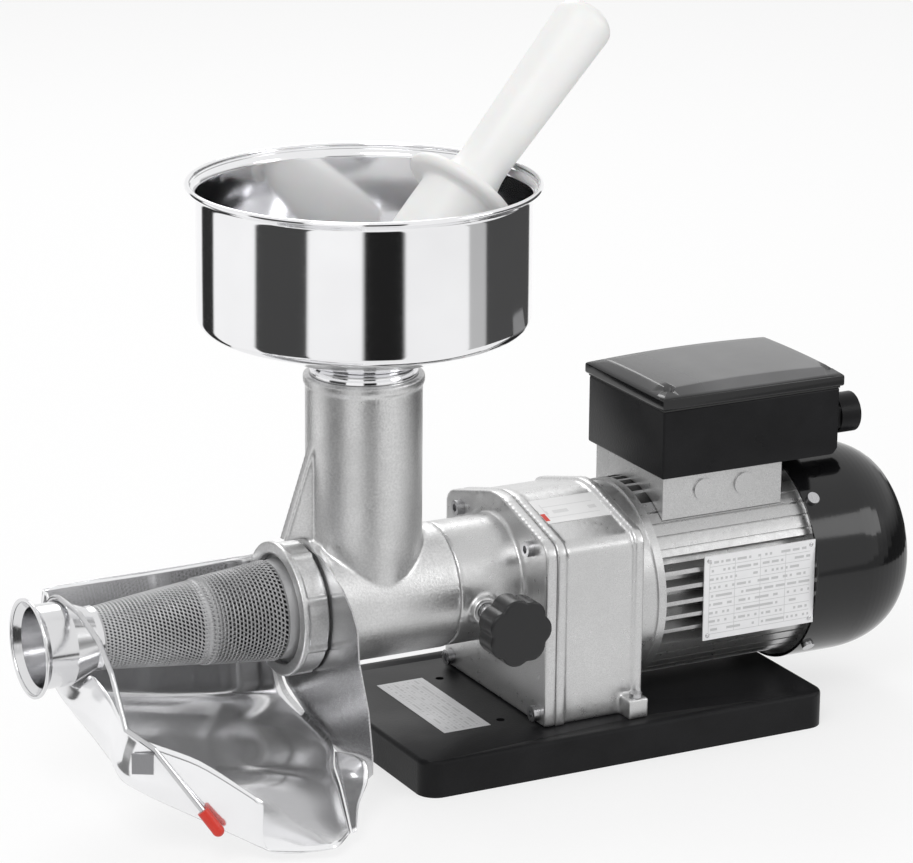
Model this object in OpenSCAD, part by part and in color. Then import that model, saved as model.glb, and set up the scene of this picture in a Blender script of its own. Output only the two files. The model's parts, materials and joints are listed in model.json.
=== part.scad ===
// Tomato strainer driven by a geared motor.
// A screw pushes the fruit through a perforated cone. The juice falls on a
// steel tray, and the skins leave through the spout at the end of the cone.
// Origin: middle of the base plate's underside. +X runs along the screw to the
// motor, +Z is up, and -Y is the side of the lock knob.

/* [Base] */
// Length of the base plate
base_l = 320; // [300:1:420]
// Width of the base plate
base_w = 198; // [190:1:260]
// Thickness of the base plate
base_t = 26; // [18:1:32]
// Corner radius of the base plate
base_r = 14; // [6:1:22]
// Radius of the anti-slip pads
pad_r = 12; // [8:1:16]
// Thickness of the anti-slip pads
pad_t = 4; // [2:0.5:6]
// Distance of a pad's centre from the two edges beside it
pad_inset = 26; // [20:1:32]
// Distance between the two fixing holes
fix_pitch = 92; // [80:1:100]
// Radius of the fixing holes
fix_r = 3; // [2:0.25:4]
// Distance of the fixing holes ahead of the gearbox
fix_gap = 19; // [14:1:24]
// Width of the label on the base plate
base_label_w = 36; // [20:1:40]
// Length of the label on the base plate
base_label_l = 104; // [60:1:120]

/* [Gearbox] */
// Height of the screw axis above the surface
screw_z = 116; // [114:1:124]
// Distance of the gearbox's front face ahead of the base plate's middle
gear_front = 56; // [50:1:64]
// Length of the gearbox along the screw
gear_l = 77; // [76:1:90]
// Width of the gearbox
gear_w = 150; // [144:1:170]
// Radius of the arch over the screw axis
arch_r = 59; // [56:1:62]
// Radius of the rounded shoulders
shoulder_r = 14; // [10:1:18]
// Height of the shoulders' centres above the surface
shoulder_z = 146; // [140:1:150]
// Wall of the gearbox
gear_wall = 6; // [4:0.5:8]
// Rear wall of the gearbox
rear_wall = 8; // [7:0.5:10]
// Thickness of the front cover
cover_t = 9; // [8:0.5:12]
// Depth of the step between the rims and the middle of the gearbox
rim_step = 2.5; // [1:0.5:3]
// Width of each rim
rim_w = 7; // [5:0.5:10]
// Radius of the socket tube
socket_r = 43.5; // [42:0.5:48]
// Length of the socket tube
socket_l = 49; // [48:1:60]
// Radius of the socket's bore
socket_bore_r = 38; // [36:0.5:39]

/* [Gears] */
// Module of the slow gear pair
slow_module = 1.25; // [1.25:0.25:1.25]
// Teeth of the output gear
output_teeth = 56; // [56:1:56]
// Teeth of the pinion on the intermediate shaft
slow_pinion_teeth = 16; // [16:1:16]
// Module of the fast gear pair
fast_module = 1; // [1:0.25:1]
// Teeth of the intermediate gear
fast_gear_teeth = 56; // [56:1:56]
// Teeth of the motor pinion
motor_pinion_teeth = 14; // [14:1:14]
// Pressure angle of the teeth
pressure_angle = 25; // [22.5:0.5:25]
// Width of the output gear
slow_face = 16; // [12:1:18]
// Width of the intermediate gear
fast_face = 12; // [8:1:14]
// Thinning of each side of a tooth
tooth_slack = 0.06; // [0.04:0.01:0.08]

/* [Strainer] */
// Length of the feed barrel behind its flange
barrel_l = 98; // [94:1:120]
// Outer radius of the feed barrel
barrel_r = 44; // [43:0.5:48]
// Bore radius of the feed barrel
barrel_bore_r = 38; // [36:0.5:39]
// Length of the threaded nose
nose_l = 15; // [13:0.5:20]
// Outer radius of the threaded nose
nose_r = 41.5; // [40.5:0.5:43]
// Distance of the feed column's axis behind the barrel's flange
column_back = 44.7; // [42:0.1:50]
// Outer radius of the feed column
column_r = 40; // [39:0.5:43]
// Bore radius of the feed column
column_bore_r = 35; // [32:0.5:36]
// Height of the feed column's top above the surface
column_top = 275.5; // [262:0.5:290]
// Length of the perforated cone
cone_l = 145; // [130:1:180]
// Radius of the cone at its wide end
cone_wide_r = 35; // [32:0.5:36]
// Radius of the cone at its narrow end
cone_narrow_r = 20.8; // [18:0.2:24]
// Sheet thickness of the cone
cone_t = 1; // [0.8:0.1:1.5]
// Length of the waste spout
spout_l = 42; // [36:1:52]
// Radius of the waste spout's neck
neck_r = 28.5; // [26:0.5:30]
// Radius of the waste spout's mouth
mouth_r = 33.7; // [32:0.1:38]
// Outer radius of the ring nut
ring_r = 46.5; // [46:0.5:50]
// Length of the ring nut
ring_l = 19; // [17:0.5:24]
// Number of grips on the ring nut
ring_grips = 8; // [4:1:12]

/* [Screw] */
// Pitch of the screw's flight
flight_pitch = 44; // [34:1:60]
// Thickness of the screw's flight
flight_t = 3; // [2:0.5:5]
// Gap between the flight and the walls round it
flight_gap = 0.8; // [0.6:0.1:1.2]
// Core radius of the screw in the barrel
core_r = 16; // [14:0.5:18]
// Core radius of the screw at its tip
core_tip_r = 9; // [6:0.5:12]
// Radius of the drive shaft
shaft_r = 10; // [8:0.5:11]
// Across flats of the square drive
square_w = 13; // [10:0.5:14]

/* [Hopper] */
// Radius of the hopper's rolled rim
hopper_r = 120; // [110:1:135]
// Height of the hopper's rim above the surface
hopper_top = 408; // [398:1:430]
// Radius of the hopper's wall
hopper_wall_r = 112.5; // [104:0.5:125]
// Height of the lower edge of the hopper's wall
hopper_edge_z = 317; // [310:1:325]
// Sheet thickness of the hopper
hopper_t = 1; // [0.8:0.1:1.5]
// Radius of the rolled rim's bead
bead_r = 1.6; // [1.2:0.1:2.5]
// Length of the spigot that sits in the column
spigot_l = 22; // [12:1:30]

/* [Pusher] */
// Radius of the pusher's plunger
plunger_r = 27.5; // [22:0.5:30]
// Length of the plunger below its guard
plunger_l = 104; // [80:1:110]
// Radius of the pusher's guard
guard_r = 41.6; // [38:0.2:42]
// Thickness of the guard
guard_t = 9; // [5:0.5:10]
// Radius of the handle above the guard
grip_r = 17.6; // [14:0.2:18]
// Radius of the handle near its end
grip_end_r = 21.3; // [17:0.1:21.5]
// Length of the handle
grip_l = 162; // [120:1:180]
// Lean of the pusher from the vertical
pusher_lean = 46.2; // [44:0.1:47]
// Compass angle of the lean, from +X
pusher_turn = 13; // [8:0.5:16]

/* [Motor] */
// Distance of the motor's axis below the screw axis
motor_drop = 16; // [16:0.5:16]
// Outer radius of the motor
motor_r = 71; // [69:0.5:72]
// Length of the motor's front bell
bell_l = 21; // [18:0.5:26]
// Length of the finned frame
frame_l = 123; // [118:1:150]
// Radius of the frame's tube
frame_tube_r = 57; // [56:0.5:58]
// Radius of the stator
stator_r = 52; // [48:0.5:52]
// Radius of the rotor
rotor_r = 30; // [26:0.5:32]
// Length of the rotor and the stator
stack_l = 80; // [60:1:84]
// Number of fins on each side of the frame
fins = 5; // [3:2:7]
// Distance between neighbouring fins
fin_pitch = 10.5; // [8:0.5:11]
// Thickness of a fin
fin_t = 3; // [2:0.5:4]
// Outer radius of the fan cowl
cowl_r = 77; // [75:0.5:79]
// Length of the fan cowl
cowl_l = 88; // [80:1:100]
// Radius of the cooling fan
fan_r = 58; // [48:1:60]
// Number of fan blades
fan_blades = 9; // [6:1:14]
// Width of the rating plate
plate_w = 91; // [70:1:95]
// Height of the rating plate
plate_h = 62; // [40:1:64]

/* [Terminal box] */
// Distance of the terminal box behind the gearbox
term_back = 26; // [24:1:30]
// Length of the terminal box
term_l = 144; // [138:1:150]
// Width of the terminal box
term_w = 106; // [98:1:112]
// Length of the pedestal under the box
pedestal_l = 97; // [80:1:98]
// Width of the pedestal under the box
pedestal_w = 94; // [86:1:96]
// Height of the pedestal's top above the surface
pedestal_top = 185; // [180:1:190]
// Height of the terminal box without its lid
term_h = 49; // [46:1:56]
// Height of the lid
lid_h = 16; // [14:1:24]
// Wall of the terminal box
term_wall = 3; // [2:0.5:4]
// Radius of the capacitor
cap_r = 18; // [14:0.5:20]
// Length of the capacitor
cap_l = 90; // [60:1:100]

/* [Tray] */
// Length of the drip tray along the screw
tray_l = 168; // [160:1:170]
// Reach of the tray in front of the screw axis
tray_reach = 162; // [150:1:180]
// Depth of the tray's spout below the screw axis
tray_drop = 108; // [100:1:109]
// Sheet thickness of the tray and the shield
tray_t = 1.2; // [1:0.1:1.6]
// Radius of the spring wire
wire_r = 1.9; // [1.5:0.1:2.2]
// Radius of the cap on the spring wire
tip_r = 4; // [3:0.1:5]
// Length of the cap on the spring wire
tip_l = 13; // [10:0.5:20]

/* [Lock knob] */
// Radius of the knob over its lobes
knob_r = 24; // [20:0.5:27]
// Thickness of the knob
knob_t = 20; // [14:0.5:24]
// Number of lobes on the knob
knob_lobes = 7; // [5:1:9]
// Radius of the knob's stud
stud_r = 6; // [5:0.25:7]
// Length of the stud between the socket and the knob
stud_free_l = 26; // [20:0.5:32]

/* [Hidden] */
$fn = 64;

// Clearances and allowances
overrun = 2;
press_gap = 0.02;
run_gap = 0.06;
seat_gap = 0.2;
part_gap = 0.4;
round_steps = 8;
joint_more = 0.1;
spout_lap = 4;
cowl_lap = 2;
slow_off = 9;
fast_off = 13;
label_in = 56;
knob_back = 17;
tray_lead = 11.8;
block_drop = 0.5;

// Stations along the screw
x_gear0 = -gear_front;
x_cover1 = x_gear0 + cover_t;
x_gear1 = x_gear0 + gear_l;
x_rear0 = x_gear1 - rear_wall;
x_tube0 = x_gear0 - socket_l;
x_barrel0 = x_tube0 - barrel_l;
x_nose0 = x_barrel0 - nose_l;
x_column = x_barrel0 + column_back;
cone_flange_t = 1.4;
x_cone1 = x_nose0 - seat_gap;
x_cone0 = x_cone1 - cone_l;
x_spout1 = x_cone0 + spout_lap;
x_spout0 = x_cone0 - spout_l;
x_bell0 = x_gear1;
x_frame0 = x_bell0 + bell_l;
x_frame1 = x_frame0 + frame_l;
x_cowl0 = x_frame1 - cowl_lap;
x_cowl1 = x_frame1 + cowl_l;
motor_z = screw_z - motor_drop;
x_stack0 = x_frame0 + (frame_l - stack_l) / 2;

// Gearbox details
socket_wall_t = 22;
hub_r = 27;
hub_out = 5;
pocket_r = 37;
pocket_t = 5;
cover_screw_r = 4;
cover_screw_head_r = 5.5;
cover_screw_head_t = 5;
cover_screw_y = 52;
cover_screw_z = 150;
cover_low_y = 64;
cover_low_z = 34;
cover_boss_r = 9;
floor_t = 9;
base_screw_r = 4;
base_screw_head_r = 7;
base_screw_head_t = 6;
base_screw_x = 10;
base_screw_y = 52;
base_screw_bite = 6;
foot_l = 16;
foot_out = 11;
foot_h = 14;
foot_back = 0.5;
foot_screw_r = 2.5;
foot_screw_head_r = 4.5;
foot_screw_head_t = 3;
label_t = 0.3;
gear_label_w = 30;
gear_label_l = 52;
boss_out = 5;

// Places of the shafts
slow_centre = slow_module * (output_teeth + slow_pinion_teeth) / 2;
fast_centre = fast_module * (fast_gear_teeth + motor_pinion_teeth) / 2;
mid_z = (screw_z + motor_z) / 2
    - (slow_centre * slow_centre - fast_centre * fast_centre) / (2 * motor_drop);
mid_y = sqrt(slow_centre * slow_centre - (screw_z - mid_z) * (screw_z - mid_z));
x_slow0 = x_cover1 + slow_off;
slow_pinion_over = 1;
x_fast0 = x_rear0 - fast_face - fast_off;
gear_hub_r = 17;
gear_hub_over = 2;
web_t = 6;
tooth_steps = 3;

// Bearings: bore radius, outer radius and width
out_bearing_r = 21;
out_bearing_w = 12;
mid_journal_r = 7.5;
mid_bearing_r = 16;
mid_bearing_w = 9;
mid_shaft_r = 9;
motor_journal_r = 7.5;
motor_bearing_r = 17.5;
motor_bearing_w = 11;
bearing_ring_t = 2.6;
bearing_balls = 8;
seal_w = 7;
motor_seal_r = 14;
boss_wall = 4;
mid_boss_l = 7;
rotor_shaft_r = 8.5;
pinion_seat_r = 4;
fan_seat_r = 6.5;
shaft_flat_gap = 0.3;

// Strainer details
flange_t = 5;
flange_r = 46;
barrel_wall_t = 17;
bush_r = 17;
tail_r = 14;
tail_out = 18;
spigot_bore_r = 30;
spigot_len = 21;
web_half_t = 5;
web_over = 17;
web_top_drop = 46;
web_rise = 2;
column_rim_t = 6;
column_rim_out = 1.5;
ring_lip_t = 5;
ring_body_r = 45;
ring_bead_w = 4;
grip_r_out = 3;
cone_flange_r = 40.6;
spout_t = 1.2;
spout_taper_l = 17;
mouth_flare_l = 6;
mouth_bead_r = 1.3;

// Screw details
flight_parts = 20;
flight_sink = 2;
auger_tip_back = 4;
auger_back_gap = 0.5;
square_l = 15;

// Hopper details
hopper_fillet = 9;
hopper_flare_l = 5;
throat_r = column_bore_r - seat_gap - hopper_t;
throat_rise = 9;
throat_z = column_top + throat_rise;
throat_fillet = 6;
seat_bead = 2;
hopper_floor_rise = hopper_edge_z - hopper_fillet - throat_z;

// Pusher details
pusher_over = 0.5;
guard_round = 3;
flare_l = 24;
flare_r = 9;
dome_h = 13;
plunger_round = 4;
pusher_foot = 74.4;
pusher_drop = 16.2;

// Motor details
block_low = 27;
block_high = 63;
block_r = motor_r - block_drop;
groove_w = 1.6;
groove_d = 1.5;
groove_step = 8;
fin_root = 50;
bolt_r = 2.5;
bolt_head_r = 4;
bolt_head_t = 4;
bolt_ring_r = 61.5;
bell_web_t = 3;
bell_cavity_r = 50;
bell_cavity_l = 6;
bell_rim_w = 6;
bell_step = 1.5;
shield_t = 8;
hub_len = 9;
winding_in_r = 34;
winding_out_r = 48;
winding_l = 15;
cowl_t = 2;
cowl_straight_l = 40;
cowl_face_r = 50;
cowl_slots = 16;
cowl_slot_w = 4;
cowl_slot_in_r = 18;
cowl_slot_out_r = 44;
cowl_screw_r = 2.5;
cowl_screw_head_r = 4.5;
cowl_screw_head_t = 2.5;
cowl_screw_back = 5;
fan_hub_r = 14;
fan_l = 38;
fan_blade_t = 2.5;
fan_disc_t = 3;
fan_off = 14;
plate_t = 1;
plate_back = 29.5;

// Terminal box details
gasket_t = 1.5;
lid_over = 2;
lid_slope = 8;
lid_screw_in = 7.5;
lid_screw_r = 2;
lid_screw_head_r = 4;
lid_screw_head_t = 2.5;
lid_post_r = 5;
box_chamfer = 5;
gland_r = 14.5;
gland_l = 14;
gland_nut_l = 16;
gland_bore_r = 5;
gland_y = -22;
gland_up = 20;
plug_r = 8;
plug_t = 1.6;
pedestal_in = 4;
plug_x0 = 33;
plug_x1 = 66;
plug_drop = 13;
cap_clear = 4;
block_w = 24;
block_l = 52;
block_h = 14;
terminal_pitch = 9;
terminal_r = 3;
terminal_t = 3;

// Lock knob details
knob_x = x_tube0 + knob_back;
knob_drop = 8;
knob_boss_r = 10;
knob_hub_r = 12;
knob_hub_t = 9;
knob_lobe_r = 11;
stud_tip_gap = 0.5;

// Tray details
x_tray0 = x_tube0 - barrel_l - nose_l - cone_l - seat_gap - tray_lead;
wire_bend_r = neck_r + part_gap + wire_r;
shield_gap = 0.5;
x_shield = x_barrel0 - shield_gap - tray_t;

// Shares of the tray's length, reach and drop: each row runs from the top of the
// left wall down to its foot, then over the floor to the shield
tray_shares = [
    [[0, 0.235, 0.20], [0.03, 0.284, 0.22], [0.5, 0.29, 0.222], [1.013, 0.30, 0.222]],
    [[0, 0.205, 0.06], [0.004, 0.268, 0.06], [0.5, 0.28, -0.01], [1.013, 0.31, -0.06]],
    [[0, 0.187, -0.08], [0, 0.235, -0.10], [0.5, 0.27, -0.24], [1.013, 0.30, -0.34]],
    [[0, 0.136, -0.212], [0, 0.173, -0.269], [0.5, 0.21, -0.45], [1.013, 0.225, -0.56]],
    [[0, 0.072, -0.262], [0, 0.099, -0.37], [0.5, 0.14, -0.56], [1.013, 0.15, -0.66]],
    [[0, -0.074, -0.26], [0, -0.031, -0.432], [0.5, -0.031, -0.60], [1.013, -0.031, -0.72]],
    [[0, -0.22, -0.11], [0, -0.278, -0.505], [0.5, -0.278, -0.68], [1.013, -0.278, -0.787]],
    [[0, -0.40, -0.145], [0, -0.46, -0.56], [0.55, -0.43, -0.73], [0.95, -0.43, -0.85]],
    [[0, -0.642, -0.27], [0, -0.642, -0.611], [0.685, -0.562, -0.783], [0.911, -0.568, -0.894]],
    [[0.22, -0.77, -0.43], [0.22, -0.776, -0.80], [0.68, -0.78, -0.90], [0.86, -0.73, -0.95]],
    [[0.43, -0.90, -0.68], [0.446, -0.914, -0.991], [0.679, -1, -0.995], [0.804, -0.895, -0.991]]];
// Shares for the side of the spout: each row runs from the tray's edge to the free edge
spout_shares = [
    [[0.996, -0.35, -0.805], [0.996, -0.50, -0.74]],
    [[0.955, -0.44, -0.843], [0.996, -0.63, -0.72]],
    [[0.917, -0.578, -0.887], [0.98, -0.68, -0.82]],
    [[0.866, -0.74, -0.943], [0.90, -0.77, -0.90]],
    [[0.81, -0.905, -0.984], [0.822, -0.912, -0.971]]];
// Shares of the reach and the drop round the shield
shield_shares = [[0.32, -0.20], [0.32, 0.26], [0.145, 0.388], [0.006, 0.407], [-0.187, 0.384], [-0.377, 0.274],
    [-0.47, 0.17], [-0.519, 0.075], [-0.533, -0.13], [-0.62, -0.412], [-0.658, -0.678], [-0.658, -0.80],
    [-0.568, -0.91], [-0.278, -0.80], [-0.031, -0.72], [0.16, -0.61], [0.235, -0.49]];
hook_l = 14;
hook_h = 14;
hook_lip = 2.4;
hook_t = 1.2;
hook_gap = 1.2;
hook_drop = 13;
wire_off = 6;
wire_wrap = 150;
wire_steps = 15;
wire_sides = 12;
leg_shares = [[-0.19, 0.285], [-0.37, 0.185], [-0.49, 0.04]];
leg_rise = 17;
leg_l = 47.5;
leg_fall = 38.5;

// Outline of the gearbox, drawn in by a given depth
slope_in = 0.05;
arch_up = shoulder_z - screw_z;
shoulder_y = gear_w / 2 - shoulder_r;
tangent_a = atan2(arch_up, shoulder_y)
    + acos((arch_r - shoulder_r) / sqrt(arch_up * arch_up + shoulder_y * shoulder_y));

module gear_outline(inset, low) {
    arch = arch_r - inset - slope_in;
    shoulder = shoulder_r - inset - slope_in;
    tangents = [for (side = [1, -1]) each [
        [side * arch * cos(tangent_a), screw_z + arch * sin(tangent_a)],
        [side * (shoulder_y + shoulder * cos(tangent_a)), shoulder_z + shoulder * sin(tangent_a)]]];
    translate([0, screw_z]) circle(r = arch_r - inset);
    for (side = [-1, 1]) translate([side * shoulder_y, shoulder_z]) circle(r = shoulder_r - inset);
    polygon([tangents[1], tangents[0], tangents[2], tangents[3],
        [-shoulder_y, shoulder_z], [shoulder_y, shoulder_z]]);
    translate([-gear_w / 2 + inset, low]) square([gear_w - 2 * inset, shoulder_z - low]);
    translate([-shoulder_y, low]) square([2 * shoulder_y, shoulder_z - low]);
}

// Extrudes a drawing of the Y-Z plane along the screw
module along_x(x, l) {
    translate([x, 0, 0]) rotate([90, 0, 90]) linear_extrude(l) children();
}

// Extrudes a drawing of the X-Z plane across the machine, centred
module across_y(w) {
    rotate([90, 0, 0]) linear_extrude(w, center = true) children();
}

// A round bar along X
module bar_x(x, l, r, y = 0, z = screw_z) {
    translate([x, y, z]) rotate([0, 90, 0]) cylinder(h = l, r = r);
}

// A round bar along Y, from y towards +Y
module bar_y(y, l, r, x, z) {
    translate([x, y, z]) rotate([-90, 0, 0]) cylinder(h = l, r = r);
}

// A ring along X
module ring_x(x, l, r_out, r_in, y = 0, z = screw_z) {
    difference() {
        bar_x(x, l, r_out, y, z);
        bar_x(x - overrun, l + 2 * overrun, r_in, y, z);
    }
}

// Turns a profile of [radius, x] points about an axis along X
module turned_x(points, y = 0, z = screw_z) {
    translate([0, y, z]) rotate([0, 90, 0]) rotate_extrude() polygon(points);
}

// A round bar between two points, with round ends
module wire(p, q, r) {
    d = q - p;
    translate(p) rotate([0, acos(d[2] / norm(d)), atan2(d[1], d[0])]) cylinder(h = norm(d), r = r);
    translate(q) sphere(r = r + joint_more);
}

// Plain ball bearing: two rings, a row of balls and their cage
module ball_bearing(x, w, r_out, r_in, y, z) {
    mid_r = (r_out + r_in) / 2;
    ball_r = (r_out - r_in) / 2 - bearing_ring_t + seat_gap;
    ring_x(x, w, r_out, r_out - bearing_ring_t, y, z);
    ring_x(x, w, r_in + bearing_ring_t, r_in, y, z);
    ring_x(x + w / 4, w / 2, r_out - bearing_ring_t + seat_gap, r_in + bearing_ring_t - seat_gap, y, z);
    for (i = [0:bearing_balls - 1])
        translate([x + w / 2, y + mid_r * cos(i * 360 / bearing_balls), z + mid_r * sin(i * 360 / bearing_balls)])
            sphere(r = ball_r);
}

// Involute teeth: half angle of a tooth at a radius, then the outline of one gear
function involute(a) = tan(a) * 180 / PI - a;
function half_tooth(m, n, r) =
    let (base_cr = m * n / 2 * cos(pressure_angle), a = acos(base_cr / max(r, base_cr)))
    90 / n - tooth_slack / (m * n / 2) * 180 / PI + involute(pressure_angle) - involute(a);
function gear_points(m, n, phase) =
    let (root_r = m * (n / 2 - root_share), base_cr = m * n / 2 * cos(pressure_angle),
        low_r = max(root_r, base_cr), tip_cr = m * (n / 2 + 1),
        radii = concat(base_cr > root_r ? [root_r] : [],
            [for (i = [0:tooth_steps]) low_r + (tip_cr - low_r) * i / tooth_steps]))
    [for (k = [0:n - 1], side = [-1, 1], i = [0:len(radii) - 1])
        let (r = radii[side < 0 ? i : len(radii) - 1 - i],
            a = phase + k * 360 / n + side * half_tooth(m, n, r))
        [r * cos(a), r * sin(a)]];
root_share = 1.25;

// A spur gear along X, round a point of the Y-Z plane
module spur(m, n, x, w, y, z, phase) {
    translate([x, y, z]) rotate([90, 0, 90]) linear_extrude(w) polygon(gear_points(m, n, phase));
}

// Closed sheet from rows of points: each point is moved by half the thickness both ways
function unit(v) = v / max(norm(v), 0.000001);
function sheet_normal(g, i, j) =
    let (a = g[min(i + 1, len(g) - 1)][j] - g[max(i - 1, 0)][j],
        b = g[i][min(j + 1, len(g[0]) - 1)] - g[i][max(j - 1, 0)])
    unit(cross(a, b));

module sheet(g, t) {
    rows = len(g);
    cols = len(g[0]);
    count = rows * cols;
    points = [for (side = [-1, 1], i = [0:rows - 1], j = [0:cols - 1])
        g[i][j] + side * t / 2 * sheet_normal(g, i, j)];
    function low(i, j) = i * cols + j;
    function high(i, j) = count + i * cols + j;
    faces = concat(
        [for (i = [0:rows - 2], j = [0:cols - 2]) each [
            [low(i, j), low(i, j + 1), low(i + 1, j + 1)], [low(i, j), low(i + 1, j + 1), low(i + 1, j)],
            [high(i, j), high(i + 1, j + 1), high(i, j + 1)], [high(i, j), high(i + 1, j), high(i + 1, j + 1)]]],
        [for (j = [0:cols - 2]) each [
            [low(0, j), high(0, j), high(0, j + 1)], [low(0, j), high(0, j + 1), low(0, j + 1)],
            [low(rows - 1, j), high(rows - 1, j + 1), high(rows - 1, j)],
            [low(rows - 1, j), low(rows - 1, j + 1), high(rows - 1, j + 1)]]],
        [for (i = [0:rows - 2]) each [
            [low(i, 0), high(i + 1, 0), high(i, 0)], [low(i, 0), low(i + 1, 0), high(i + 1, 0)],
            [low(i, cols - 1), high(i, cols - 1), high(i + 1, cols - 1)],
            [low(i, cols - 1), high(i + 1, cols - 1), low(i + 1, cols - 1)]]]);
    polyhedron(points, faces);
}

// Base

module base_outline() {
    for (sx = [-1, 1], sy = [-1, 1])
        translate([sx * (base_l / 2 - base_r), sy * (base_w / 2 - base_r)]) circle(r = base_r);
    square([base_l - 2 * base_r, base_w], center = true);
    square([base_l, base_w - 2 * base_r], center = true);
}

base_screw_places = [for (x = [x_cover1 + base_screw_x, x_gear1 - base_screw_x], side = [-1, 1])
    [x, side * base_screw_y]];

module base_plate() {
    color("#202122") difference() {
        linear_extrude(base_t) base_outline();
        for (sx = [-1, 1], sy = [-1, 1])
            translate([sx * (base_l / 2 - pad_inset), sy * (base_w / 2 - pad_inset), -overrun])
                cylinder(h = pad_t + overrun, r = pad_r + press_gap);
        for (side = [-1, 1]) translate([x_gear0 - fix_gap, side * fix_pitch / 2, -overrun])
            cylinder(h = base_t + 2 * overrun, r = fix_r);
        for (p = base_screw_places) translate([p[0], p[1], -overrun]) {
            cylinder(h = base_t + 2 * overrun, r = base_screw_r + seat_gap);
            cylinder(h = base_screw_head_t + 2 * overrun, r = base_screw_head_r + seat_gap);
        }
        for (side = [-1, 1])
            translate([x_gear1 - foot_l / 2, side * (gear_w / 2 + foot_out / 2), base_t - foot_screw_bite])
                cylinder(h = foot_screw_bite + overrun, r = foot_screw_r + press_gap);
    }
}

foot_screw_bite = 12;

module base_pads() {
    color("#101010") for (sx = [-1, 1], sy = [-1, 1])
        translate([sx * (base_l / 2 - pad_inset), sy * (base_w / 2 - pad_inset), 0])
            cylinder(h = pad_t, r = pad_r);
}

base_label_x = label_in - base_l / 2;

module base_label() {
    color("#d9dadb") translate([base_label_x - base_label_w / 2, -base_label_l / 2, base_t])
        cube([base_label_w, base_label_l, label_t]);
}

module base_screws() {
    color("#9aa0a5") for (p = base_screw_places) translate([p[0], p[1], 0]) {
        translate([0, 0, overrun]) cylinder(h = base_screw_head_t, r = base_screw_head_r);
        translate([0, 0, overrun]) cylinder(h = base_t + base_screw_bite, r = base_screw_r);
    }
}

// Gearbox

cover_places = [for (side = [-1, 1]) each [[side * cover_screw_y, cover_screw_z], [side * cover_low_y, cover_low_z]]];

module gearbox_housing() {
    body_l = gear_l - cover_t;
    color("#c6c8ca") difference() {
        union() {
            along_x(x_cover1, body_l) gear_outline(rim_step, base_t);
            along_x(x_cover1, rim_w) gear_outline(0, base_t);
            along_x(x_gear1 - rim_w, rim_w) gear_outline(0, base_t);
            for (side = [-1, 1])
                translate([x_gear1 - foot_l, side * gear_w / 2 - foot_out, base_t])
                    cube([foot_l - foot_back, 2 * foot_out, foot_h]);
        }
        difference() {
            along_x(x_cover1 - overrun, body_l + overrun - rear_wall)
                gear_outline(rim_step + gear_wall, base_t + floor_t);
            bar_x(x_rear0 - mid_boss_l, mid_boss_l + overrun, mid_bearing_r + boss_wall, mid_y, mid_z);
            for (p = cover_places) bar_x(x_cover1 - overrun, body_l, cover_boss_r, p[0], p[1]);
        }
        bar_x(x_rear0 - mid_boss_l - overrun, mid_bearing_w + overrun + shaft_flat_gap,
            mid_bearing_r + press_gap, mid_y, mid_z);
        bar_x(x_rear0 - overrun, rear_wall + 2 * overrun, motor_seal_r + press_gap, 0, motor_z);
        for (p = cover_places) bar_x(x_cover1 - overrun, cover_screw_bite + overrun,
            cover_screw_r + press_gap, p[0], p[1]);
        for (p = base_screw_places) translate([p[0], p[1], base_t - overrun])
            cylinder(h = base_screw_bite + 2 * overrun + seat_gap, r = base_screw_r + press_gap);
        for (side = [-1, 1])
            translate([x_gear1 - foot_l / 2, side * (gear_w / 2 + foot_out / 2), base_t - overrun])
                cylinder(h = foot_h + 2 * overrun, r = foot_screw_r + seat_gap);
    }
}

cover_screw_bite = 16;

module gearbox_front_cover() {
    knob_z = screw_z - knob_drop;
    hub_len_x = x_cover1 + hub_out - (x_tube0 + socket_wall_t);
    color("#c9cbcd") difference() {
        union() {
            along_x(x_gear0, cover_t) gear_outline(0, base_t + seat_gap);
            bar_x(x_tube0, socket_l + overrun, socket_r);
            bar_x(x_cover1 - overrun, hub_out + overrun, hub_r);
            bar_x(x_cover1 - overrun, mid_boss_l + overrun, mid_bearing_r + boss_wall, mid_y, mid_z);
            intersection() {
                bar_y(-socket_r - boss_out, socket_r + boss_out, knob_boss_r, knob_x, knob_z);
                bar_x(x_tube0 + seat_gap, socket_l, socket_r + 2 * boss_out);
            }
        }
        bar_x(x_tube0 - overrun, socket_wall_t + overrun, socket_bore_r);
        bar_x(x_tube0 + socket_wall_t - overrun, hub_len_x + 2 * overrun, out_bearing_r + press_gap);
        difference() {
            bar_x(x_tube0 + socket_wall_t + pocket_t, socket_l + cover_t - socket_wall_t - pocket_t + overrun, pocket_r);
            bar_x(x_tube0, socket_l + cover_t + 2 * overrun, hub_r);
            bar_x(x_gear0, cover_t + mid_boss_l, mid_bearing_r + boss_wall, mid_y, mid_z);
        }
        bar_x(x_cover1 + mid_boss_l - mid_bearing_w - shaft_flat_gap, mid_bearing_w + shaft_flat_gap + overrun,
            mid_bearing_r + press_gap, mid_y, mid_z);
        bar_y(-socket_r - 2 * boss_out, socket_r, stud_r + run_gap, knob_x, knob_z);
        for (p = cover_places) bar_x(x_gear0 - overrun, cover_t + 2 * overrun, cover_screw_r + seat_gap, p[0], p[1]);
    }
}

module cover_screws() {
    color("#8f9498") for (p = cover_places) {
        bar_x(x_gear0, cover_t + cover_screw_bite - seat_gap, cover_screw_r, p[0], p[1]);
        difference() {
            bar_x(x_gear0 - cover_screw_head_t, cover_screw_head_t, cover_screw_head_r, p[0], p[1]);
            translate([x_gear0 - cover_screw_head_t - overrun, p[0], p[1]]) rotate([0, 90, 0])
                cylinder(h = cover_screw_head_t / 2 + overrun, r = cover_screw_r * hex_share, $fn = 6);
        }
    }
}

hex_share = 0.75;

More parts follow.
